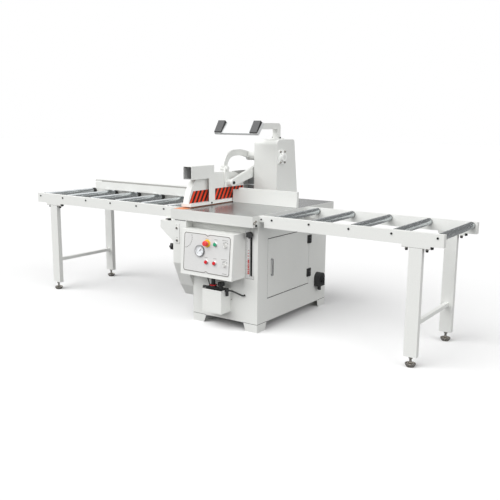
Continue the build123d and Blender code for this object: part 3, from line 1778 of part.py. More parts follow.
with BuildPart() as lamp_arm:
    add(lamp_tube(0, column_top))
    block(
        plan(column_top),
        (column_middle - lamp_flange / 2, lamp_arm_y - lamp_flange / 2),
        (column_middle + lamp_flange / 2, lamp_arm_y + lamp_flange / 2),
        lamp_flange_thickness,
    )
    add(lamp_tube(lamp_arm_wall, column_top + lamp_flange_thickness), mode=Mode.SUBTRACT)
    tongue_left = column_middle - lamp_tongue_thickness / 2
    tongue_root = (lamp_arm_end, arm_centre_z)
    eye = lamp_eye_radius
    link(side(tongue_left), lamp_pivot, eye, tongue_root, eye, lamp_tongue_thickness)
    pin_hole = lamp_pin_radius + running_clearance
    rod(side(tongue_left), lamp_pivot, pin_hole, lamp_tongue_thickness, Mode.SUBTRACT)
save(lamp_arm.part, "lamp_arm")

# Lamp: a long tilted housing with a wedge-shaped cap near each end, on ears with the pivot pin

tilt = radians(lamp_tilt)
lamp_back_y = lamp_pivot_y - lamp_pivot_offset * cos(tilt) - lamp_pivot_shift * sin(tilt)
lamp_back_z = arm_centre_z + lamp_pivot_offset * sin(tilt) - lamp_pivot_shift * cos(tilt)
LAMP = Plane(
    (x_table + lamp_middle, y_rail + lamp_back_y, lamp_back_z),
    x_dir=(1, 0, 0),
    z_dir=(0, -cos(tilt), sin(tilt)),
)

with BuildPart() as lamp_body:
    block(LAMP, (-lamp_length / 2, -lamp_width / 2), (lamp_length / 2, lamp_width / 2), lamp_thickness)
    fillet(lamp_body.edges().filter_by(Axis.X), lamp_edge_round)
    # Light bays on both sides of the solid mount
    bay_end = lamp_length / 2 - lamp_wall
    bay_half = lamp_width / 2 - lamp_wall
    mount_u = column_middle - lamp_middle
    for low, high in ((-bay_end, mount_u - lamp_mount_half), (mount_u + lamp_mount_half, bay_end)):
        block(LAMP, (low, -bay_half), (high, bay_half), lamp_thickness - lamp_wall, Mode.SUBTRACT)
    ear_gap = lamp_tongue_thickness / 2 + side_clearance
    ear_foot_y = lamp_pivot_y - lamp_pivot_offset * cos(tilt) - lamp_ear_run * sin(tilt)
    ear_foot_z = arm_centre_z + lamp_pivot_offset * sin(tilt) - lamp_ear_run * cos(tilt)
    for x in (column_middle - ear_gap - lamp_ear_thickness, column_middle + ear_gap):
        with BuildSketch(side(x)) as ear:
            with Locations(lamp_pivot):
                Circle(lamp_eye_radius)
            with Locations((ear_foot_y, ear_foot_z)):
                Circle(lamp_ear_foot_radius)
            make_hull()
        extrude(ear.sketch, amount=lamp_ear_thickness)
    pin_length = 2 * (ear_gap + lamp_ear_thickness)
    rod(side(column_middle - pin_length / 2), lamp_pivot, lamp_pin_radius, pin_length)

cap_low = -lamp_width / 2 + lamp_cap_low_margin
cap_high = lamp_width / 2 - lamp_cap_high_margin
cap_points = [(cap_low, 0), (cap_high, 0), (cap_high, lamp_cap_high), (cap_low, lamp_cap_low)]
caps = []
for u in (-lamp_length / 2 + lamp_left_cap, lamp_length / 2 - lamp_right_cap - lamp_cap_length):
    cap_origin = LAMP.from_local_coords((u, 0, lamp_thickness))
    with BuildPart() as cap:
        prism(Plane(cap_origin, x_dir=LAMP.y_dir, z_dir=LAMP.x_dir), cap_points, lamp_cap_length)
        outer = cap.faces().sort_by(Axis(LAMP.origin, LAMP.z_dir))[-1]
        chamfer(outer.edges(), lamp_cap_chamfer)
    caps.append(cap.part.solid())
save(Compound([lamp_body.part.solid(), *caps]), "lamp_housing")
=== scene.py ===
import json
from math import cos, pi, radians, sin

import bmesh
import bpy
from mathutils import Matrix, Vector


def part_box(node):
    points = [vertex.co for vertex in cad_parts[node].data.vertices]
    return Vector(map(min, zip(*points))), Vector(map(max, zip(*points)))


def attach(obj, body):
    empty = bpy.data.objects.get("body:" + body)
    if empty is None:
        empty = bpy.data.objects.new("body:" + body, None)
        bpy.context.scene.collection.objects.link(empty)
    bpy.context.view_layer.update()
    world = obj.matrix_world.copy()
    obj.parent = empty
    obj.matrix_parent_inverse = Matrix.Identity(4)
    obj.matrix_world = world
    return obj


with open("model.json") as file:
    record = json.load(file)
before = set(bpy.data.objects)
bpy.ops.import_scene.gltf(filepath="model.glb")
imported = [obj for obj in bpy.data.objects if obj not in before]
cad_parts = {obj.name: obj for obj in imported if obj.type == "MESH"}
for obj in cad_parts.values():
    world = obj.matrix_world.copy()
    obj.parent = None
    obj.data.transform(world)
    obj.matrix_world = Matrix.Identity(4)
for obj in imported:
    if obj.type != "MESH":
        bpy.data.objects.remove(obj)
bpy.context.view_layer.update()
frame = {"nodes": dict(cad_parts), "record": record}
nodes = frame["nodes"]
scene = bpy.context.scene

# Places are in millimetres from the table's middle, the conveyors' front face and the floor.
MM = 1000
table_low, table_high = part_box("table_top")
DATUM = Vector(((table_low.x + table_high.x) / 2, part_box("left_rails")[0].y, 0))
# Flat pieces stand this far off the face they lie on.
LIFT = 0.02


def at(x, y, z):
    """Point of the datum in the row frame, in metres."""
    return DATUM + Vector((x, y, z)) / MM


def face(origin, across, up):
    """Flat face to draw on in mm: across to the right, up, and outwards to whoever looks at it."""
    across = Vector(across).normalized()
    up = Vector(up).normalized()
    turn = Matrix((across, up, across.cross(up))).transposed().to_4x4()
    return Matrix.Translation(origin) @ turn @ Matrix.Scale(1 / MM, 4)


def front(y):
    """Face towards the operator: x and z of the datum."""
    return face(at(0, y, 0), (1, 0, 0), (0, 0, 1))


def right(x):
    """Face towards the right: y and z of the datum."""
    return face(at(x, 0, 0), (0, 1, 0), (0, 0, 1))


def left(x):
    """Face towards the left: minus y and z of the datum."""
    return face(at(x, 0, 0), (0, -1, 0), (0, 0, 1))


def top(z):
    """Face upwards: x and y of the datum."""
    return face(at(0, 0, z), (1, 0, 0), (0, 1, 0))


def under(z):
    """Face downwards: x and minus y of the datum."""
    return face(at(0, 0, z), (1, 0, 0), (0, -1, 0))


# Materials

# Sockets of a mix node for colours and for numbers: first, second and result
COLOUR_A, COLOUR_B, COLOUR_MIX = 6, 7, 2
NUMBER_A, NUMBER_B, NUMBER_MIX = 2, 3, 0
# Depth of the dents in a surface, in metres
DENT = 0.0005


def linear(code):
    """Linear colour of an sRGB hex code."""
    parts = [int(code[i : i + 2], 16) / 255 for i in (0, 2, 4)]
    return (*(c / 12.92 if c <= 0.04045 else ((c + 0.055) / 1.055) ** 2.4 for c in parts), 1)


def link(tree, node, inputs):
    """Fill a node's inputs: each is a value, a socket to link from, or a node that gives its first output."""
    for key, value in inputs.items():
        if isinstance(value, bpy.types.Node):
            value = value.outputs[0]
        if isinstance(value, bpy.types.NodeSocket):
            tree.links.new(value, node.inputs[key])
        else:
            node.inputs[key].default_value = value


def add(tree, kind, inputs=None, ramp=(), **settings):
    """Add a shader node with its settings and links; a ramp is given as places and hex codes."""
    made = tree.nodes.new(kind)
    for key, value in settings.items():
        setattr(made, key, value)
    for k, (place, code) in enumerate(ramp):
        made.color_ramp.elements[k].position = place
        made.color_ramp.elements[k].color = linear(code)
    link(tree, made, inputs or {})
    return made


def surface(name):
    """New material, with its tree and its shader."""
    made = bpy.data.materials.new(name)
    made.use_nodes = True
    return made, made.node_tree, made.node_tree.nodes["Principled BSDF"]


def finish(name, light, dark, grain, rough, metal=0.0, bump=0.0, stretch=(1, 1, 1), ior=1.5):
    """Surface that wanders between two tones, with the pattern's size in mm and its two roughnesses."""
    made, tree, shader = surface(name)
    place = add(tree, "ShaderNodeTexCoord").outputs["Object"]
    drawn = add(tree, "ShaderNodeMapping", {"Vector": place, "Scale": stretch})
    noise = add(tree, "ShaderNodeTexNoise", {"Vector": drawn, "Scale": MM / grain, "Detail": 3.0})
    tone = add(tree, "ShaderNodeValToRGB", {"Fac": noise}, ramp=((0.3, dark), (0.7, light)))
    worn = add(tree, "ShaderNodeMapRange", {"Value": noise, "To Min": rough[0], "To Max": rough[1]})
    link(tree, shader, {"Base Color": tone, "Roughness": worn, "Metallic": metal})
    if not metal:
        link(tree, shader, {"IOR": ior})
    if bump:
        dents = add(tree, "ShaderNodeBump", {"Height": noise, "Strength": bump, "Distance": DENT})
        link(tree, shader, {"Normal": dents})
    return made


# Powder coat: baked on as a thick even skin, a faint orange peel breaks up its soft shine.
white_paint = finish("white_powder_coat", "E9EAE7", "E5E6E3", 6, (0.42, 0.5), bump=0.06)
# The right fence is coated a shade greyer than the machine.
fence_paint = finish("grey_white_powder_coat", "DBDCD9", "D7D8D5", 6, (0.46, 0.54), bump=0.06)
# Zinc-plated tube drawn through a die: grey, with streaks along its length. Real streaks are under 1 mm wide,
# so they are drawn coarser to be seen.
zinc_tube = finish("drawn_zinc_tube", "DCE0E2", "BCC2C4", 7, (0.2, 0.32), metal=1.0, stretch=(1, 0.12, 1))
# Zinc-plated fittings: warmer and darker, with a short mottle from the bath.
zinc_fitting = finish("zinc_plated_steel", "C4C1BB", "8E8A84", 5, (0.2, 0.32), metal=1.0)
# Chrome plate: a mirror with the faintest haze.
chrome = finish("chrome_plate", "EDEEEF", "DDDFE1", 12, (0.06, 0.12), metal=1.0)
# Burnished steel of the door handle: drawn along its length, dark between its highlights.
burnished = finish("burnished_steel", "B9BABC", "9C9D9F", 8, (0.16, 0.26), metal=1.0, stretch=(1, 1, 0.1))
# Moulded grey plastic of the selectors: pale and even, with a soft shine.
grey_plastic = finish("moulded_grey_plastic", "E8E8E5", "DFDFDC", 6, (0.32, 0.42))
# Ground steel of the working parts: straight fine grinding lines.
ground_steel = finish("ground_steel", "B9BCBE", "8E9193", 2, (0.2, 0.34), metal=1.0, stretch=(1, 1, 0.05))
# Grey matt lining inside the open end of the yoke's tube: painted shade of its bore.
painted_bore_shade = finish("grey_painted_bore_shade", "C8C9C8", "BCBDBC", 20, (0.6, 0.7))
# Black oxide on bolts and screws: dark, slightly oily.
black_oxide = finish("black_oxide_steel", "2B2C2D", "1B1C1D", 2, (0.38, 0.5), metal=0.6)
# Moulded black plastic with a spark-eroded grain, which keeps it matt.
black_plastic = finish("moulded_black_plastic", "2A2B2C", "1F2021", 1.5, (0.4, 0.55), bump=0.15)
# Machined phenolic sheet of the slot insert: orange with cloth mottle.
orange_sheet = finish("machined_phenolic_sheet", "E08A4E", "CF743B", 4, (0.45, 0.6), bump=0.1)
# Satin printed foil over the panel's plate.
panel_foil = finish("satin_panel_foil", "DCDCDB", "D8D8D7", 20, (0.36, 0.42))
# Anodised aluminium: pale with a fine extrusion line.
anodised = finish("anodised_aluminium", "CBCCCC", "B9BABB", 3, (0.3, 0.4), metal=1.0, stretch=(0.04, 1, 1))
# Glossy moulded plastics of the controls: even colour, moulded skin.
red_plastic = finish("moulded_red_plastic", "E0202A", "CC161F", 10, (0.2, 0.3))
coral_plastic = finish("moulded_stop_red", "EE4A48", "E23C3C", 10, (0.22, 0.32))
green_plastic = finish("moulded_green_plastic", "1FAE7C", "159A6B", 8, (0.2, 0.3))
yellow_plastic = finish("moulded_yellow_plastic", "F6CF3A", "EDBE22", 8, (0.25, 0.35))
# Castings of the hidden drive: paint over a sandy skin.
grey_casting = finish("painted_casting", "8A8C8E", "76787A", 7, (0.45, 0.6), bump=0.3)
# Rubber of the drive belt and the seals: black and matt.
belt_rubber = finish("ribbed_belt_rubber", "242424", "161616", 3, (0.6, 0.75), bump=0.3)
# Enamelled dial and printing inks: flat, a little uneven as screen print is.
dial_white = finish("enamelled_dial", "F3F5F8", "ECEFF3", 6, (0.3, 0.4))
grey_ink = finish("grey_screen_print", "6A6561", "5D5854", 2, (0.5, 0.6))
pale_ink = finish("pale_screen_print", "8E8C89", "82807D", 2, (0.5, 0.6))
black_ink = finish("black_screen_print", "3A3A3A", "2C2C2C", 2, (0.5, 0.6))
red_ink = finish("red_screen_print", "D2504A", "C4413C", 2, (0.5, 0.6))
# Grey bead strip in the fence: rolled bright metal, dulled, with its lines along the fence.
rolled_strip = finish(
    "rolled_metal_strip", "B9B8B4", "A2A19D", 6, (0.35, 0.5), metal=0.4, stretch=(0.05, 1, 1)
)
# Gauge case: pressed steel in grey enamel.
gauge_grey = finish("grey_case_enamel", "7A7B7D", "6C6D6F", 5, (0.3, 0.4))
# Frosted acrylic over the lamp's light bays: milky, with a soft shine.
frosted = finish("frosted_acrylic", "F4F4F0", "EAEAE6", 15, (0.35, 0.45), ior=1.49)
# Turned glass of the gauge: clear, with the slightest tone.
glass = finish("gauge_glass", "FFFFFF", "F4F8F8", 12, (0.02, 0.05), ior=1.52)
glass.node_tree.nodes["Principled BSDF"].inputs["Alpha"].default_value = 0.1


def table_finish():
    """Table plate: ground on top, where fine lines run along the work, and powder coated on its aprons."""
    made, tree, shader = surface("ground_top_painted_apron")
    place = add(tree, "ShaderNodeTexCoord").outputs
    turned = add(tree, "ShaderNodeSeparateXYZ", {"Vector": place["Normal"]}).outputs
    top_face = add(tree, "ShaderNodeMath", {0: turned["Z"], 1: 0.9}, operation="GREATER_THAN")
    lines = add(tree, "ShaderNodeMapping", {"Vector": place["Object"], "Scale": (0.03, 1, 1)})
    ground = add(tree, "ShaderNodeTexNoise", {"Vector": lines, "Scale": MM / 4, "Detail": 4.0})
    steel = add(tree, "ShaderNodeValToRGB", {"Fac": ground}, ramp=((0, "A6A8A8"), (1, "B8B9B8")))
    peel = add(tree, "ShaderNodeTexNoise", {"Vector": place["Object"], "Scale": MM / 6, "Detail": 3.0})
    coat = add(tree, "ShaderNodeValToRGB", {"Fac": peel}, ramp=((0, "DADBD8"), (1, "DFE0DD")))
    both = add(tree, "ShaderNodeMix", {0: top_face, COLOUR_A: coat, COLOUR_B: steel}, data_type="RGBA")
    shine = add(tree, "ShaderNodeMapRange", {"Value": ground, "To Min": 0.22, "To Max": 0.3})
    rough = add(tree, "ShaderNodeMix", {0: top_face, NUMBER_A: 0.46, NUMBER_B: shine}, data_type="FLOAT")
    worn = rough.outputs[NUMBER_MIX]
    link(tree, shader, {"Base Color": both.outputs[COLOUR_MIX], "Roughness": worn, "Metallic": top_face})
    return made


def column_finish(bearing_side):
    """Column: powder coat, with the cast bearing on its right side in a whiter enamel."""
    made, tree, shader = surface("powder_coat_and_bearing_enamel")
    place = add(tree, "ShaderNodeTexCoord").outputs["Object"]
    axes = add(tree, "ShaderNodeSeparateXYZ", {"Vector": place}).outputs
    cast = add(tree, "ShaderNodeMath", {0: axes["X"], 1: bearing_side}, operation="GREATER_THAN")
    peel = add(tree, "ShaderNodeTexNoise", {"Vector": place, "Scale": MM / 6, "Detail": 3.0})
    coat = add(tree, "ShaderNodeValToRGB", {"Fac": peel}, ramp=((0, "E4E5E2"), (1, "EAEBE8")))
    enamel = add(tree, "ShaderNodeValToRGB", {"Fac": peel}, ramp=((0, "F6F7F5"), (1, "FAFBF9")))
    both = add(tree, "ShaderNodeMix", {0: cast, COLOUR_A: coat, COLOUR_B: enamel}, data_type="RGBA")
    worn = add(tree, "ShaderNodeMapRange", {"Value": peel, "To Min": 0.42, "To Max": 0.5})
    link(tree, shader, {"Base Color": both.outputs[COLOUR_MIX], "Roughness": worn})
    return made


def lamp_finish(front_point, outward):
    """Lamp: white enamel, with wedge caps moulded in dark grey plastic; the caps' faces that don't look out
    are painted darker, as painted shade.
    """
    made, tree, shader = surface("lamp_enamel_and_caps_painted_shade")
    place = add(tree, "ShaderNodeTexCoord").outputs
    ahead = add(tree, "ShaderNodeVectorMath", {0: place["Object"], 1: outward}, operation="DOT_PRODUCT")
    facing = add(tree, "ShaderNodeVectorMath", {0: place["Normal"], 1: outward}, operation="DOT_PRODUCT")
    start = front_point.dot(outward) + CAP_STEP
    cap = add(tree, "ShaderNodeMath", {0: ahead.outputs["Value"], 1: start}, operation="GREATER_THAN")
    flat = add(tree, "ShaderNodeMath", {0: facing.outputs["Value"], 1: 0.8}, operation="GREATER_THAN")
    grain = add(tree, "ShaderNodeTexNoise", {"Vector": place["Object"], "Scale": MM / 4, "Detail": 3.0})
    grey = add(tree, "ShaderNodeValToRGB", {"Fac": grain}, ramp=((0, "2A2B2C"), (1, "363738")))
    # Caps' faces that don't look out: painted shade, darker than the caps' front.
    side = add(tree, "ShaderNodeValToRGB", {"Fac": grain}, ramp=((0, "19191A"), (1, "242425")))
    enamel = add(tree, "ShaderNodeValToRGB", {"Fac": grain}, ramp=((0, "D8DADA"), (1, "DDDFDF")))
    dark = add(tree, "ShaderNodeMix", {0: flat, COLOUR_A: side, COLOUR_B: grey}, data_type="RGBA")
    parts = {0: cap, COLOUR_A: enamel, COLOUR_B: dark.outputs[COLOUR_MIX]}
    both = add(tree, "ShaderNodeMix", parts, data_type="RGBA")
    worn = add(tree, "ShaderNodeMapRange", {"Value": grain, "To Min": 0.32, "To Max": 0.45})
    link(tree, shader, {"Base Color": both.outputs[COLOUR_MIX], "Roughness": worn})
    return made


def stripe_finish():
    """Hazard film: red and black bars leaning at 60 degrees, 25 mm each along the guard, printed on film."""
    made, tree, shader = surface("printed_hazard_film")
    place = add(tree, "ShaderNodeTexCoord").outputs["Object"]
    axes = add(tree, "ShaderNodeSeparateXYZ", {"Vector": place}).outputs
    lean = add(tree, "ShaderNodeMath", {0: axes["Z"], 1: 1 / STRIPE_RISE}, operation="MULTIPLY")
    slant = add(tree, "ShaderNodeMath", {0: axes["Y"], 1: lean}, operation="SUBTRACT")
    phase = add(tree, "ShaderNodeMath", {0: slant, 1: STRIPE_START}, operation="ADD")
    turns = add(tree, "ShaderNodeMath", {0: phase, 1: 1 / STRIPE_PITCH}, operation="MULTIPLY")
    part = add(tree, "ShaderNodeMath", {0: turns}, operation="FRACT")
    bar = add(tree, "ShaderNodeMath", {0: part, 1: 0.5}, operation="GREATER_THAN")
    ink = add(tree, "ShaderNodeTexNoise", {"Vector": place, "Scale": MM / 5, "Detail": 2.0})
    red = add(tree, "ShaderNodeValToRGB", {"Fac": ink}, ramp=((0, "E0401F"), (1, "EC4A28")))
    black = add(tree, "ShaderNodeValToRGB", {"Fac": ink}, ramp=((0, "221B19"), (1, "2C2421")))
    both = add(tree, "ShaderNodeMix", {0: bar, COLOUR_A: red, COLOUR_B: black}, data_type="RGBA")
    worn = add(tree, "ShaderNodeMapRange", {"Value": ink, "To Min": 0.4, "To Max": 0.5})
    link(tree, shader, {"Base Color": both.outputs[COLOUR_MIX], "Roughness": worn})
    link(tree, shader, {"Specular IOR Level": 0.25})
    return made


def screen_finish():
    """Chip screen: sheet with fine level lines, kept dark at the back as painted shade and made paler on the
    wall beside the guard as painted light.
    """
    made, tree, shader = surface("ribbed_sheet_painted_light_and_shade")
    place = add(tree, "ShaderNodeTexCoord").outputs
    axes = add(tree, "ShaderNodeSeparateXYZ", {"Vector": place["Object"]}).outputs
    rows = add(tree, "ShaderNodeMath", {0: axes["Z"], 1: 2 * pi / LINE_PITCH}, operation="MULTIPLY")
    wave = add(tree, "ShaderNodeMath", {0: rows}, operation="SINE")
    lines = add(tree, "ShaderNodeMapRange", {"Value": wave, "From Min": -1.0, "From Max": 1.0})
    dust = add(tree, "ShaderNodeTexNoise", {"Vector": place["Object"], "Scale": MM / 25, "Detail": 3.0})
    mixed = add(tree, "ShaderNodeMath", {0: lines, 1: dust}, operation="MULTIPLY")
    # Two copies of one sheet, chosen by the way each face looks: the dark one is painted shade, the pale one
    # painted light.
    shade = add(tree, "ShaderNodeValToRGB", {"Fac": mixed}, ramp=((0, "6C6D6D"), (1, "989998")))
    pale = add(tree, "ShaderNodeValToRGB", {"Fac": mixed}, ramp=((0, "BDBDBA"), (1, "D4D4D1")))
    turned = add(tree, "ShaderNodeSeparateXYZ", {"Vector": place["Normal"]}).outputs
    wall = add(tree, "ShaderNodeMath", {0: turned["X"], 1: 0.5}, operation="GREATER_THAN")
    both = add(tree, "ShaderNodeMix", {0: wall, COLOUR_A: shade, COLOUR_B: pale}, data_type="RGBA")
    worn = add(tree, "ShaderNodeMapRange", {"Value": dust, "To Min": 0.4, "To Max": 0.6})
    link(tree, shader, {"Base Color": both.outputs[COLOUR_MIX], "Roughness": worn})
    return made


# Lamp: tilt of its front, the way that the front looks, and the step up to its caps in metres
LAMP_TILT = radians(40.6)
LAMP_OUT = Vector((0, -cos(LAMP_TILT), sin(LAMP_TILT)))
CAP_STEP = 0.0006
# Hazard bars: rise over run, then the pitch of a pair of bars and where they start, in metres
STRIPE_RISE = 1.7
STRIPE_PITCH = 0.050
STRIPE_START = 0.0267
# Pitch of the chip screen's lines in metres
LINE_PITCH = 0.008
table_steel = table_finish()
column_paint = column_finish(at(24.5, 0, 0).x)
lamp_enamel = lamp_finish(at(0, 419.8, 1485.8), LAMP_OUT)
hazard_print = stripe_finish()
dark_sheet = screen_finish()

# Shapes


def prism(shape, plane, outline, low, high):
    """Slab of an outline, from low to high along the face's outward way."""
    rings = [[shape.verts.new(plane @ Vector((x, y, z))) for x, y in outline] for z in (low, high)]
    for i in range(len(outline)):
        shape.faces.new((rings[0][i - 1], rings[0][i], rings[1][i], rings[1][i - 1]))
    shape.faces.new(rings[0])
    shape.faces.new(rings[1])


def spin(shape, plane, place, profile, steps=28):
    """Turned shape about the outward axis at a place; the profile is (radius, height) pairs."""
    rings = []
    for radius, high in profile:
        turns = [2 * pi * k / steps for k in range(steps if radius else 1)]
        spots = [(place[0] + radius * cos(a), place[1] + radius * sin(a), high) for a in turns]
        rings.append([shape.verts.new(plane @ Vector(spot)) for spot in spots])
    for low, high in zip(rings, rings[1:]):
        for k in range(steps):
            j = k + 1
            corners = (low[k % len(low)], low[j % len(low)], high[j % len(high)], high[k % len(high)])
            corners = list(dict.fromkeys(corners))
            if len(corners) > 2:
                shape.faces.new(corners)


def ribbon(shape, plane, points, width, low, high, closed=False):
    """Raised line of a width along points, with mitred corners."""
    count = len(points)
    spots = [Vector(point) for point in points]
    rings = []
    for i, spot in enumerate(spots):
        ways = []
        if i or closed:
            ways.append((spot - spots[i - 1]).normalized())
        if i < count - 1 or closed:
            ways.append((spots[(i + 1) % count] - spot).normalized())
        sides = [Vector((-way.y, way.x)) for way in ways]
        side = sum(sides, Vector((0, 0))).normalized()
        side *= width / 2 / side.dot(sides[0])
        corners = [(spot + side, low), (spot - side, low), (spot - side, high), (spot + side, high)]
        rings.append([shape.verts.new(plane @ Vector((p.x, p.y, z))) for p, z in corners])
    for i in range(count if closed else count - 1):
        first, second = rings[i], rings[(i + 1) % count]
        for k in range(4):
            shape.faces.new((first[k - 1], first[k], second[k], second[k - 1]))
    if not closed:
        shape.faces.new(rings[0])
        shape.faces.new(rings[-1])


def rect(x0, y0, x1, y1):
    """Corners of a rectangle."""
    return [(x0, y0), (x1, y0), (x1, y1), (x0, y1)]


def arc(x, y, radius, start, end, steps=12):
    """Points along an arc, in degrees."""
    turns = [radians(start + (end - start) * k / steps) for k in range(steps + 1)]
    return [(x + radius * cos(a), y + radius * sin(a)) for a in turns]


def hexagon(x, y, radius):
    """Corners of a hexagon."""
    turns = [2 * pi * k / 6 for k in range(6)]
    return [(x + radius * cos(a), y + radius * sin(a)) for a in turns]


def rounded(x0, y0, x1, y1, radius, steps=5):
    """Rectangle with round corners."""
    points = []
    for quarter, (x, y) in enumerate(((x1, y1), (x0, y1), (x0, y0), (x1, y0))):
        middle_x = x - radius if x == x1 else x + radius
        middle_y = y - radius if y == y1 else y + radius
        points += arc(middle_x, middle_y, radius, 90 * quarter, 90 * (quarter + 1), steps)
    return points


def ring(shape, plane, place, inner, outer, low, high, steps=28, soft=0.4):
    """Ring with softened outer corners."""
    edge = outer - soft
    profile = [(inner, low), (edge, low), (outer, low + soft), (outer, high - soft), (edge, high)]
    spin(shape, plane, place, profile + [(inner, high), (inner, low)], steps)


def disc(shape, plane, place, radius, low, high, steps=20):
    """Plain round slab."""
    spin(shape, plane, place, [(0, low), (radius, low), (radius, high), (0, high)], steps)


def hex_head(shape, plane, place, radius, high):
    """Hexagon head on its washer, with a chamfered crown."""
    washer = 1.4
    crown = high - 1
    disc(shape, plane, place, radius * 1.25, 0, washer)
    prism(shape, plane, hexagon(*place, radius), washer, crown)
    spin(shape, plane, place, [(0, crown), (radius * 0.88, crown), (radius * 0.8, high), (0, high)], 18)


def socket_head(shape, plane, place, radius, high):
    """Round head with a hexagon socket."""
    hole = radius * 0.5
    profile = [(0, 0), (radius, 0), (radius, high * 0.7), (radius * 0.85, high), (hole, high)]
    spin(shape, plane, place, profile + [(hole * 0.95, high * 0.45), (0, high * 0.4)], 18)


def piece(name, shape, material, body="machine", soft=0.0):
    """Finished object from a shape: welded, shaded and riding on its body."""
    bmesh.ops.remove_doubles(shape, verts=shape.verts, dist=1e-6)
    bmesh.ops.recalc_face_normals(shape, faces=shape.faces)
    mesh = bpy.data.meshes.new(name)
    shape.to_mesh(mesh)
    shape.free()
    mesh.shade_smooth()
    mesh.set_sharp_from_angle(angle=radians(35))
    mesh.materials.append(material)
    made = bpy.data.objects.new(name, mesh)
    scene.collection.objects.link(made)
    if soft:
        round_edges(made, soft)
    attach(made, body)
    return made


def round_edges(thing, width):
    """Small round on every sharp edge, as folded sheet and moulded plastic have."""
    weld = thing.modifiers.new("weld", "WELD")
    weld.merge_threshold = 0.00002
    flat = thing.modifiers.new("flat", "DECIMATE")
    flat.decimate_type = "DISSOLVE"
    flat.angle_limit = radians(1)
    bevel = thing.modifiers.new("round", "BEVEL")
    bevel.width = width / MM
    bevel.segments = 2
    bevel.limit_method = "ANGLE"
    bevel.angle_limit = radians(40)
    bevel.harden_normals = True


# CAD pieces: finishes by material slot, then the ones with a finish of their own

SLOT_FINISH = {
    "white_paint": white_paint,
    "polished_steel": ground_steel,
    "zinc_steel": zinc_tube,
    "orange_plastic": orange_sheet,
    "black_plastic": black_plastic,
    "bright_metal": grey_plastic,
    "panel_aluminium": panel_foil,
    "red_plastic": red_plastic,
    "green_plastic": green_plastic,
    "grey_casting": grey_casting,
    "belt_rubber": belt_rubber,
}
OWN_FINISH = {
    "table_top": table_steel,
    "column": column_paint,
    "right_fence": fence_paint,
    "lamp_housing": lamp_enamel,
    "chip_screen": dark_sheet,
    "roller_axles": black_oxide,
    "levelling_feet": zinc_fitting,
    "emergency_stop_button": coral_plastic,
    "door_handle": burnished,
    "lift_cylinder": anodised,
}
for row in frame["record"]["subparts"]:
    thing = nodes[row["node"]]
    thing.data.materials.clear()
    thing.data.materials.append(OWN_FINISH.get(row["node"], SLOT_FINISH[row["material_slot"]]))

# Rounds in mm on the edges of folded sheet, and on those of the arms
EDGE_ROUNDS = {
    2.0: (
        "cabinet_shell", "cabinet_base", "cabinet_door", "left_rails", "right_rails", "conveyor_legs",
        "left_fence", "right_fence", "blade_housing", "control_box", "air_unit_cover", "table_top",
    ),
    1.5: ("upper_arm", "lower_arm", "holddown_yoke", "lamp_arm"),
}
for width, names in EDGE_ROUNDS.items():
    for name in names:
        round_edges(nodes[name], width)
# Large flat faces beside the rounds of the solids stay flat to the eye.
for name in ("column", "guard_hood"):
    even = nodes[name].modifiers.new("even", "WEIGHTED_NORMAL")
    even.keep_sharp = True
    even.weight = 100

# Guard: hazard film on the right side, the bolt of the hold-down leg and a grey lining of painted shade in
# the yoke's tube

hood_side = right(-286)
FILM = 0.5
FILM_LOW = 909
FILM_HIGH = 1001
made = bmesh.new()
slanted = [(23, FILM_LOW), (273, FILM_LOW), (273, FILM_HIGH), (73, FILM_HIGH - 1)]
prism(made, hood_side, slanted, LIFT, FILM)
prism(made, hood_side, rect(348, FILM_LOW, 733, FILM_HIGH), LIFT, FILM)
piece("hazard_film", made, hazard_print, "guard")
made = bmesh.new()
socket_head(made, right(-250), (258, 897), radius=7, high=6)
piece("holddown_bolt", made, black_oxide, "guard")
# Grey lining in the yoke's tube: painted shade of its bore.
made = bmesh.new()
ribbon(made, front(12), rect(-329.6, 1096.4, -254.4, 1189.6), 0.6, -150, -1, True)
piece("yoke_bore_painted_shade", made, painted_bore_shade, "guard")

# Arms and column: bolt of the lower arm's front eye, the bearing's bolts and those of the lamp's flange

BEARING_Y = 842
BEARING_Z = 1244
made = bmesh.new()
socket_head(made, right(-216), (505, 1040), radius=13, high=9)
piece("lower_arm_bolt", made, black_oxide, "lower_arm")
made = bmesh.new()
for y in (BEARING_Y - 33, BEARING_Y + 33):
    for z in (BEARING_Z - 44, BEARING_Z + 44):
        hex_head(made, right(38), (y, z), radius=8, high=9)
piece("bearing_bolts", made, zinc_fitting)
made = bmesh.new()
for x in (-128, -52):
    hex_head(made, top(1394), (x, 944), radius=7, high=12)
piece("lamp_flange_bolts", made, black_oxide)

# Lamp: frosted covers in the two light bays underneath

lamp_back = face(at(-112, 438.04, 1470.2), (1, 0, 0), (0, sin(LAMP_TILT), cos(LAMP_TILT)))
made = bmesh.new()
for start, end in ((-206, -11), (55, 206)):
    prism(made, lamp_back, rounded(start, -53, end, 53, 3), 1, 4)
piece("lamp_covers", made, frosted, "lamp")

# Chip screen: pale top trim and a light strip across both walls

SCREEN_WALL = -367
SCREEN_END = -205
SCREEN_BACK = 922
screen_back = front(SCREEN_BACK)
made = bmesh.new()
prism(made, left(SCREEN_WALL - 2), rect(-SCREEN_BACK - 2, 1094, -690, 1118), LIFT, 1.2)
prism(made, screen_back, rect(SCREEN_WALL, 1094, SCREEN_END, 1118), LIFT, 1.2)
piece("screen_trim", made, rolled_strip)
made = bmesh.new()
prism(made, right(SCREEN_WALL), rect(692, 986, SCREEN_BACK, 993), LIFT, 1)
prism(made, screen_back, rect(SCREEN_WALL, 986, SCREEN_END, 993), LIFT, 1)
piece("screen_strip", made, dial_white)

# Left fence: bright strip in its groove

made = bmesh.new()
prism(made, front(544), rect(-1807, 955.4, -421, 966.6), 0.1, 3.2)
piece("fence_strip", made, rolled_strip, soft=0.6)

# Rollers: black bearing seals at both ends, deeper behind on the left conveyor

conveyor_front = front(0)
AXLE_HEIGHT = 851
AXLE_FIT = 7.5
TUBE_FIT = 25.02
SEAL = 25.5
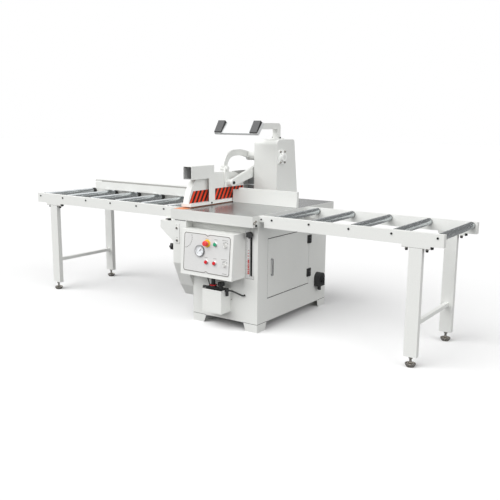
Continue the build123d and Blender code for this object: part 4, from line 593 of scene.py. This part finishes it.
# First roller, pitch and number of each conveyor's rollers, and where the rear seal's sleeve starts
CONVEYORS = {"left": (-527, -300, 6, 612), "right": (490, 300, 5, 643)}
for side, (first, pitch, count, sleeve) in CONVEYORS.items():
    for i in range(count):
        roller = f"{side}_roller_{i + 1}"
        place = (first + pitch * i, AXLE_HEIGHT)
        made = bmesh.new()
        ring(made, conveyor_front, place, AXLE_FIT, 25.3, -50, -45.2)
        ring(made, conveyor_front, place, TUBE_FIT, SEAL, -649.5, -sleeve)
        ring(made, conveyor_front, place, AXLE_FIT, SEAL, -649.8, -648)
        piece(f"{roller}_seals", made, black_plastic, roller)

# Conveyor legs: pads under the top plates on both sides of each leg, and a grey line of painted shade along
# their front's lower edge

LEG_PLACES = (-1857, 1553)
LEG_ROWS = (0, 655)
LEG_DEPTH = 40
PAD_START = 43.6
PAD_END = 93
PAD_TOP = 785
PAD_THICKNESS = 9
made = bmesh.new()
painted_shade_lines = bmesh.new()
for x in LEG_PLACES:
    for row in LEG_ROWS:
        for start, end in ((-PAD_END, -PAD_START), (PAD_START, PAD_END)):
            outline = rect(x + start, -row - LEG_DEPTH, x + end, -row)
            prism(made, under(PAD_TOP), outline, 0.05, PAD_THICKNESS)
    # Grey line along the pads' lower front edge: painted shade.
    prism(painted_shade_lines, conveyor_front, rect(x - PAD_END, 776.2, x + PAD_END, 778), LIFT, 0.3)
piece("leg_pads", made, white_paint)
piece("leg_painted_shade_lines", painted_shade_lines, pale_ink)

# Conveyor fasteners: bolts on spacers under the pads, and at the bracket and the table's right side

SPACER = 9
BOLT_REACH = 67
pad_bottom = PAD_TOP - PAD_THICKNESS
bolt_rows = [row + LEG_DEPTH / 2 for row in LEG_ROWS]
bracket_top = top(779)
table_side = right(382)
made = bmesh.new()
for x in LEG_PLACES:
    for row in bolt_rows:
        for reach in (-BOLT_REACH, BOLT_REACH):
            hex_head(made, under(pad_bottom - SPACER), (x + reach, -row), radius=9.5, high=13)
        hex_head(made, right(x + PAD_END), (row, 781), radius=9, high=14)
hex_head(made, bracket_top, (-414, -60), radius=13, high=15)
hex_head(made, table_side, (-39, 807), radius=8, high=8)
socket_head(made, conveyor_front, (401, AXLE_HEIGHT), radius=6, high=5)
piece("conveyor_bolts", made, black_oxide)
made = bmesh.new()
for x in LEG_PLACES:
    for row in bolt_rows:
        for reach in (-BOLT_REACH, BOLT_REACH):
            disc(made, under(pad_bottom), (x + reach, -row), 9, 0, SPACER)
hex_head(made, bracket_top, (-452, -48), radius=10, high=10)
hex_head(made, table_side, (-62, 827), radius=9, high=9)
hex_head(made, table_side, (-42, 838), radius=7, high=8)
piece("conveyor_plated_bolts", made, zinc_fitting)

# Door: moulded covers on its hinges, one on the door and one on the cabinet, and black strips round its
# opening, a painted shadow of the gap

cabinet_front = front(0)
cabinet_side = right(374)
HINGE_HEIGHT = 66
for name, z in (("low", 299), ("high", 574)):
    made = bmesh.new()
    prism(made, cabinet_side, rounded(705, z, 724.6, z + HINGE_HEIGHT, 3), LIFT, 9.5)
    ring(made, top(z + 22.5), (382.5, 733.5), 7.9, 8.3, 0.2, 20.8, soft=0.1)
    piece(f"hinge_cover_{name}_door", made, black_plastic, "door", 1.2)
    made = bmesh.new()
    prism(made, cabinet_side, rounded(742.4, z, 760, z + HINGE_HEIGHT, 3), LIFT, 9.5)
    piece(f"hinge_cover_{name}_cabinet", made, black_plastic, soft=1.2)
# Black strips in the gap round the door and just above and below it: painted shadow of the gap.
made = bmesh.new()
ribbon(made, right(371.5), rect(132.5, 241.5, 733.5, 687.5), 2.4, -1, 1, True)
prism(made, cabinet_side, rect(131, 237.4, 735, 240.4), LIFT, 0.6)
prism(made, cabinet_side, rect(131, 688.6, 735, 692), LIFT, 0.6)
piece("door_gap_painted_shadow", made, belt_rubber)

# Cabinet: dark lines of painted shade at the joint over the feet, a grommet round the hose and a small screw

SEAM_LOW = 60.6
SEAM_HIGH = 63.8
# Dark lines at the top of the feet: painted shade of the joint.
made = bmesh.new()
for start, end in ((-229, -106), (250, 373)):
    prism(made, cabinet_front, rect(start, SEAM_LOW, end, SEAM_HIGH), LIFT, 0.3)
for start, end in ((1, 124), (892, 1015)):
    prism(made, cabinet_side, rect(start, SEAM_LOW, end, SEAM_HIGH), LIFT, 0.3)
    prism(made, left(-230), rect(-end, SEAM_LOW, -start, SEAM_HIGH), LIFT, 0.3)
piece("foot_painted_shade_lines", made, black_ink)
made = bmesh.new()
ring(made, cabinet_front, (261, 272), 6.4, 8, LIFT, 2)
piece("hose_grommet", made, black_plastic)
made = bmesh.new()
socket_head(made, cabinet_front, (140, 222), radius=4, high=2.5)
piece("cabinet_screw", made, zinc_fitting)

# Dark strip between the blade housing and the table's apron: painted shadow under the apron's edge

housing_front = front(-82)
made = bmesh.new()
prism(made, housing_front, rect(-340, 789.6, -232, 794.6), LIFT, 0.5)
piece("apron_painted_shadow_strip", made, belt_rubber)

# Flow valves: plate on the blade housing with two adjusting screws

plate_front = front(-83.6)
VALVES = ((-321, 730), (-320, 635))
made = bmesh.new()
prism(made, housing_front, rounded(-339, 611, -295, 764, 4), LIFT, 1.6)
piece("valve_plate", made, white_paint, soft=0.4)
made = bmesh.new()
# Dark line along the plate's right and bottom edges: painted shadow of its edge. The arcs above the screws
# are print.
ribbon(made, housing_front, [(-294.4, 763), (-294.4, 610.4), (-338, 610.4)], 1.4, LIFT, 1.2)
for z in (744, 649):
    ribbon(made, plate_front, arc(-321, z, 9, 40, 140), 1.6, LIFT, 0.25)
piece("valve_plate_edge_shadow_and_marks", made, grey_ink)
made = bmesh.new()
for place in VALVES:
    ring(made, plate_front, place, 3.5, 8, LIFT, 6)
piece("valve_collars", made, zinc_fitting)
made = bmesh.new()
for x, z in VALVES:
    spin(made, plate_front, (x, z), [(0, 0.1), (3.4, 0.1), (3.4, 9), (2.6, 10), (0, 10)], 16)
    prism(made, plate_front, rect(x - 6, z - 9, x + 7, z - 6), LIFT, 5)
piece("valve_screws", made, black_oxide)

# Stroke scale: printed foil round the slot, thin enough for the knob's collar to pass over it

FOIL = 0.3
FOIL_LEFT = 264
FOIL_LOW = 403
FOIL_HIGH = 756
SLOT_LEFT = 305
SLOT_RIGHT = 327
SLOT_LOW = 420
SLOT_HIGH = 748
made = bmesh.new()
prism(made, cabinet_front, rect(FOIL_LEFT, FOIL_LOW, SLOT_LEFT, FOIL_HIGH), LIFT, FOIL)
prism(made, cabinet_front, rect(SLOT_RIGHT, FOIL_LOW, 341, FOIL_HIGH), LIFT, FOIL)
prism(made, cabinet_front, rect(SLOT_LEFT, FOIL_LOW, SLOT_RIGHT, SLOT_LOW), LIFT, FOIL)
prism(made, cabinet_front, rect(SLOT_LEFT, SLOT_HIGH, SLOT_RIGHT, FOIL_HIGH), LIFT, FOIL)
piece("scale_foil", made, panel_foil)
made = bmesh.new()
# Dark line along the foil's left and bottom edges and the foot of its right edge: painted shadow of its edge.
# The ticks are print.
border = [(FOIL_LEFT, FOIL_HIGH), (FOIL_LEFT, 402.4), (341.6, 402.4), (341.6, 430)]
ribbon(made, cabinet_front, border, 1.6, LIFT, 0.32)
for k in range(31):
    z = 730 - 10 * k
    length = 12 if k % 5 == 0 else 6
    prism(made, cabinet_front, rect(270, z - 0.9, 270 + length, z + 0.9), FOIL, 0.4)
piece("scale_ticks_and_edge_shadow", made, black_ink)
made = bmesh.new()
for k in range(9):
    z = 612 - 20 * k
    half = 3 + 2 * (k % 3)
    prism(made, cabinet_front, rounded(292 - half, z - 3, 292 + half, z + 3, 1.5, 3), FOIL, 0.4)
for k in range(8):
    z = 540 - 14 * k
    half = 7 + 1.5 * (k % 2)
    prism(made, cabinet_front, rounded(293 - half, z - 5, 293 + half, z + 5, 1.5, 3), 0.4, 0.45)
piece("scale_bars", made, red_ink)
made = bmesh.new()
prism(made, cabinet_front, rect(305.2, SLOT_LOW, 310, SLOT_HIGH), LIFT, 0.35)
prism(made, cabinet_front, rect(322, SLOT_LOW, 326.8, SLOT_HIGH), LIFT, 0.35)
# Black sheet deep behind the slot: painted shade for the dark inside of the cabinet.
prism(made, front(45), rect(258, 405, 342, 765), 0, 1.5)
piece("slot_lips_and_painted_shade", made, black_plastic)

# Control panel: printed border with a notch above and below, and pale marks at the controls

panel = face(at(18, -148, 572.5), (1, 0, 0), (0, 26, 335))
PANEL_FACE = 2.02
PRINT = 2.2
SELECTORS = {"mode_selector": (173, 84), "cycle_selector": (173, -54)}
BORDER = [
    (-201, 147), (-14, 147), (8, 136), (30, 147), (203, 147), (214.5, 134), (214.5, -125),
    (204, -136), (26, -136), (5, -125), (-16, -136), (-200, -136), (-210.5, -125), (-210.5, 134),
]
# Middle and half length of each printed row of marks
MARK_ROWS = (
    (3.5, 117, 17), (84.5, 119, 15), (167, 121, 26), (-2, -20.5, 17), (83, -20.5, 15), (166, -17, 26),
)
made = bmesh.new()
ribbon(made, panel, BORDER, 4.6, PANEL_FACE, 2.25, True)
piece("panel_border", made, grey_ink)
made = bmesh.new()
for k in range(9):
    start = 20 - 11.5 * k
    ribbon(made, panel, arc(-213, 108, 75, start, start - 6.6, 2), 6.4, PANEL_FACE, PRINT)
for u, v, half in MARK_ROWS:
    for k in range(5):
        x = u + half * (k - 2) / 2.5
        prism(made, panel, rect(x - half / 7, v - 2, x + half / 7, v + 2), PANEL_FACE, PRINT)
for u, v in SELECTORS.values():
    ribbon(made, panel, arc(u, v, 27, 30, 150), 2.0, PANEL_FACE, PRINT)
ribbon(made, panel, [(155, -121), (195, -121)], 3, PANEL_FACE, PRINT)
piece("panel_marks", made, pale_ink)
made = bmesh.new()
for u, v in SELECTORS.values():
    for spot in arc(u, v, 21, 50, 130, 2):
        disc(made, panel, spot, 3.4, PANEL_FACE, PRINT, 12)
piece("selector_dots", made, black_ink)

# Gauge: grey bezel, enamelled dial with scale and numbers, and its glass

GAUGE = (-58, 23)
BEZEL_FIT = 37.3
DIAL = 6.3
TICKS = 40
NUMBERS = 5


def gauge_way(share):
    """Way from the gauge's middle to a share of its scale."""
    turn = radians(225 - 270 * share)
    return Vector((cos(turn), sin(turn)))


made = bmesh.new()
back = [(BEZEL_FIT, PANEL_FACE), (42.6, PANEL_FACE)]
rim = [(43, 6), (42.6, 13.6), (41, 14.6), (39, 14.6), (BEZEL_FIT, 13.4)]
spin(made, panel, GAUGE, back + rim + [(BEZEL_FIT, PANEL_FACE)], 48)
piece("gauge_bezel", made, gauge_grey)
made = bmesh.new()
ring(made, panel, GAUGE, 2.3, 36.8, 6.02, DIAL, 40, 0.05)
piece("gauge_dial", made, dial_white)
made = bmesh.new()
for k in range(TICKS + 1):
    long_tick = k % 8 == 0
    way = gauge_way(k / TICKS)
    start = Vector(GAUGE) + way * (26 if long_tick else 29)
    end = Vector(GAUGE) + way * 33
    ribbon(made, panel, [start[:], end[:]], 1.5 if long_tick else 0.8, DIAL, 6.4)
piece("gauge_scale", made, black_ink)
for k in range(NUMBERS + 1):
    words = bpy.data.curves.new(f"gauge_number_{k}", "FONT")
    words.body = str(2 * k)
    words.align_x = "CENTER"
    words.align_y = "CENTER"
    words.size = 7
    words.extrude = 0.05
    words.materials.append(black_ink)
    made = bpy.data.objects.new(f"gauge_number_{k}", words)
    scene.collection.objects.link(made)
    spot = Vector(GAUGE) + gauge_way(k / NUMBERS) * 20.5
    made.matrix_world = panel @ Matrix.Translation((spot.x, spot.y, 6.36))
    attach(made, "machine")
made = bmesh.new()
spin(made, panel, GAUGE, [(0, 11.5), (37.2, 11.5), (37.2, 12.6), (30, 13.2), (0, 13.6)], 40)
piece("gauge_glass", made, glass)

# Buttons: chrome collars, the yellow disc of the emergency stop and lines on the selectors

BUTTON_FIT = 13.2
made = bmesh.new()
for place in ((81, 84), (6, -54), (81, -54)):
    ring(made, panel, place, BUTTON_FIT, 17.5, PANEL_FACE, 8.2, 32, 1.2)
piece("button_collars", made, chrome)
made = bmesh.new()
ring(made, panel, (6, 84), BUTTON_FIT, 29, PANEL_FACE, 7.2, 40, 1.2)
piece("stop_disc", made, yellow_plastic)
for name, (u, v) in SELECTORS.items():
    made = bmesh.new()
    prism(made, panel, rect(u - 1.2, v + 2, u + 1.2, v + 13), 22.32, 22.6)
    piece(f"{name}_line", made, black_ink, name)

# Air unit: red band round the regulator's ring

made = bmesh.new()
ring(made, top(0), (14, -59), 24.9, 26, 324.5, 333.2, 36)
piece("regulator_band", made, red_plastic)

# Isolator: a white line on the handle, a painted highlight, and the gland's nuts

made = bmesh.new()
prism(made, right(447.3), rect(873, 259, 876, 276), LIFT, 0.3)
piece("isolator_painted_highlight", made, dial_white, "isolator_handle")
made = bmesh.new()
for z in (164, 188):
    prism(made, top(z), hexagon(401, 874.5, 17), 0, 8)
piece("isolator_gland", made, black_plastic, soft=1.0)

# Studio: a pale floor that gives little light back, and soft light from above, in front and the right

FLOOR_HALF = 40
floor_paint, tree, shader = surface("pale_studio_floor")
tree.nodes.remove(shader)
seen = add(tree, "ShaderNodeLightPath").outputs["Is Camera Ray"]
speck = add(tree, "ShaderNodeTexNoise", {"Scale": 3.0})
pale = add(tree, "ShaderNodeValToRGB", {"Fac": speck}, ramp=((0, "F2F2F2"), (1, "F5F5F5")))
both = add(tree, "ShaderNodeMix", {0: seen, COLOUR_A: linear("8E8E8E"), COLOUR_B: pale}, data_type="RGBA")
matt = add(tree, "ShaderNodeBsdfDiffuse", {"Color": both.outputs[COLOUR_MIX]})
link(tree, tree.nodes["Material Output"], {"Surface": matt})
shape = bmesh.new()
bmesh.ops.create_grid(shape, x_segments=2, y_segments=2, size=FLOOR_HALF)
mesh = bpy.data.meshes.new("floor")
shape.to_mesh(mesh)
shape.free()
mesh.materials.append(floor_paint)
floor = bpy.data.objects.new("floor", mesh)
scene.collection.objects.link(floor)

# White to the camera; mirrored surfaces see a wall that is dark behind the machine's right side
SOFT_LIGHT = 0.32
BRIGHT_WALL = (-0.5, -0.9, 0.4)
world = bpy.data.worlds.new("studio")
world.use_nodes = True
tree = world.node_tree
seen = add(tree, "ShaderNodeLightPath").outputs
outward = add(tree, "ShaderNodeTexCoord").outputs["Generated"]
facing = add(tree, "ShaderNodeVectorMath", {0: outward, 1: BRIGHT_WALL}, operation="DOT_PRODUCT")
shades = {"From Min": -0.55, "From Max": -0.18, "To Min": 0.25, "To Max": 1.25}
wall = add(tree, "ShaderNodeMapRange", {"Value": facing.outputs["Value"], **shades})
rays = {0: seen["Is Glossy Ray"], NUMBER_A: SOFT_LIGHT, NUMBER_B: wall}
level = add(tree, "ShaderNodeMix", rays, data_type="FLOAT").outputs[NUMBER_MIX]
rays = {0: seen["Is Camera Ray"], 1: seen["Is Transmission Ray"]}
white = add(tree, "ShaderNodeMath", rays, operation="MAXIMUM")
strength = add(tree, "ShaderNodeMath", {0: white, 1: level}, operation="MAXIMUM")
link(tree, tree.nodes["Background"], {"Strength": strength, "Color": (1, 1, 1, 1)})
scene.world = world

# Strength of each light, its width in degrees and the way towards it
LIGHTS = {
    "key": (2.78, 64, (-0.3, -0.65, 0.7)),
    "fill": (1.4, 60, (0.84, -0.2, 0.5)),
}
for name, (energy, width, way) in LIGHTS.items():
    light = bpy.data.lights.new(name, "SUN")
    light.energy = energy
    light.angle = radians(width)
    lamp = bpy.data.objects.new(name, light)
    lamp.rotation_euler = Vector(way).to_track_quat("Z", "Y").to_euler()
    scene.collection.objects.link(lamp)

# Camera at the photograph's viewpoint

HEADING = radians(34.949)
DIP = radians(10.845)
ROLL = radians(0.492)
view = bpy.data.cameras.new("photo_view")
view.sensor_width = 36
view.lens = 48.913
view.clip_end = 100
camera = bpy.data.objects.new("photo_view", view)
scene.collection.objects.link(camera)
turn = Matrix.Rotation(HEADING, 4, "Z") @ Matrix.Rotation(pi / 2 - DIP, 4, "X")
place = Matrix.Translation(at(3078.74, -3968.26, 1545.85))
camera.matrix_world = place @ turn @ Matrix.Rotation(ROLL, 4, "Z")
scene.camera = camera
scene.view_settings.view_transform = "Standard"
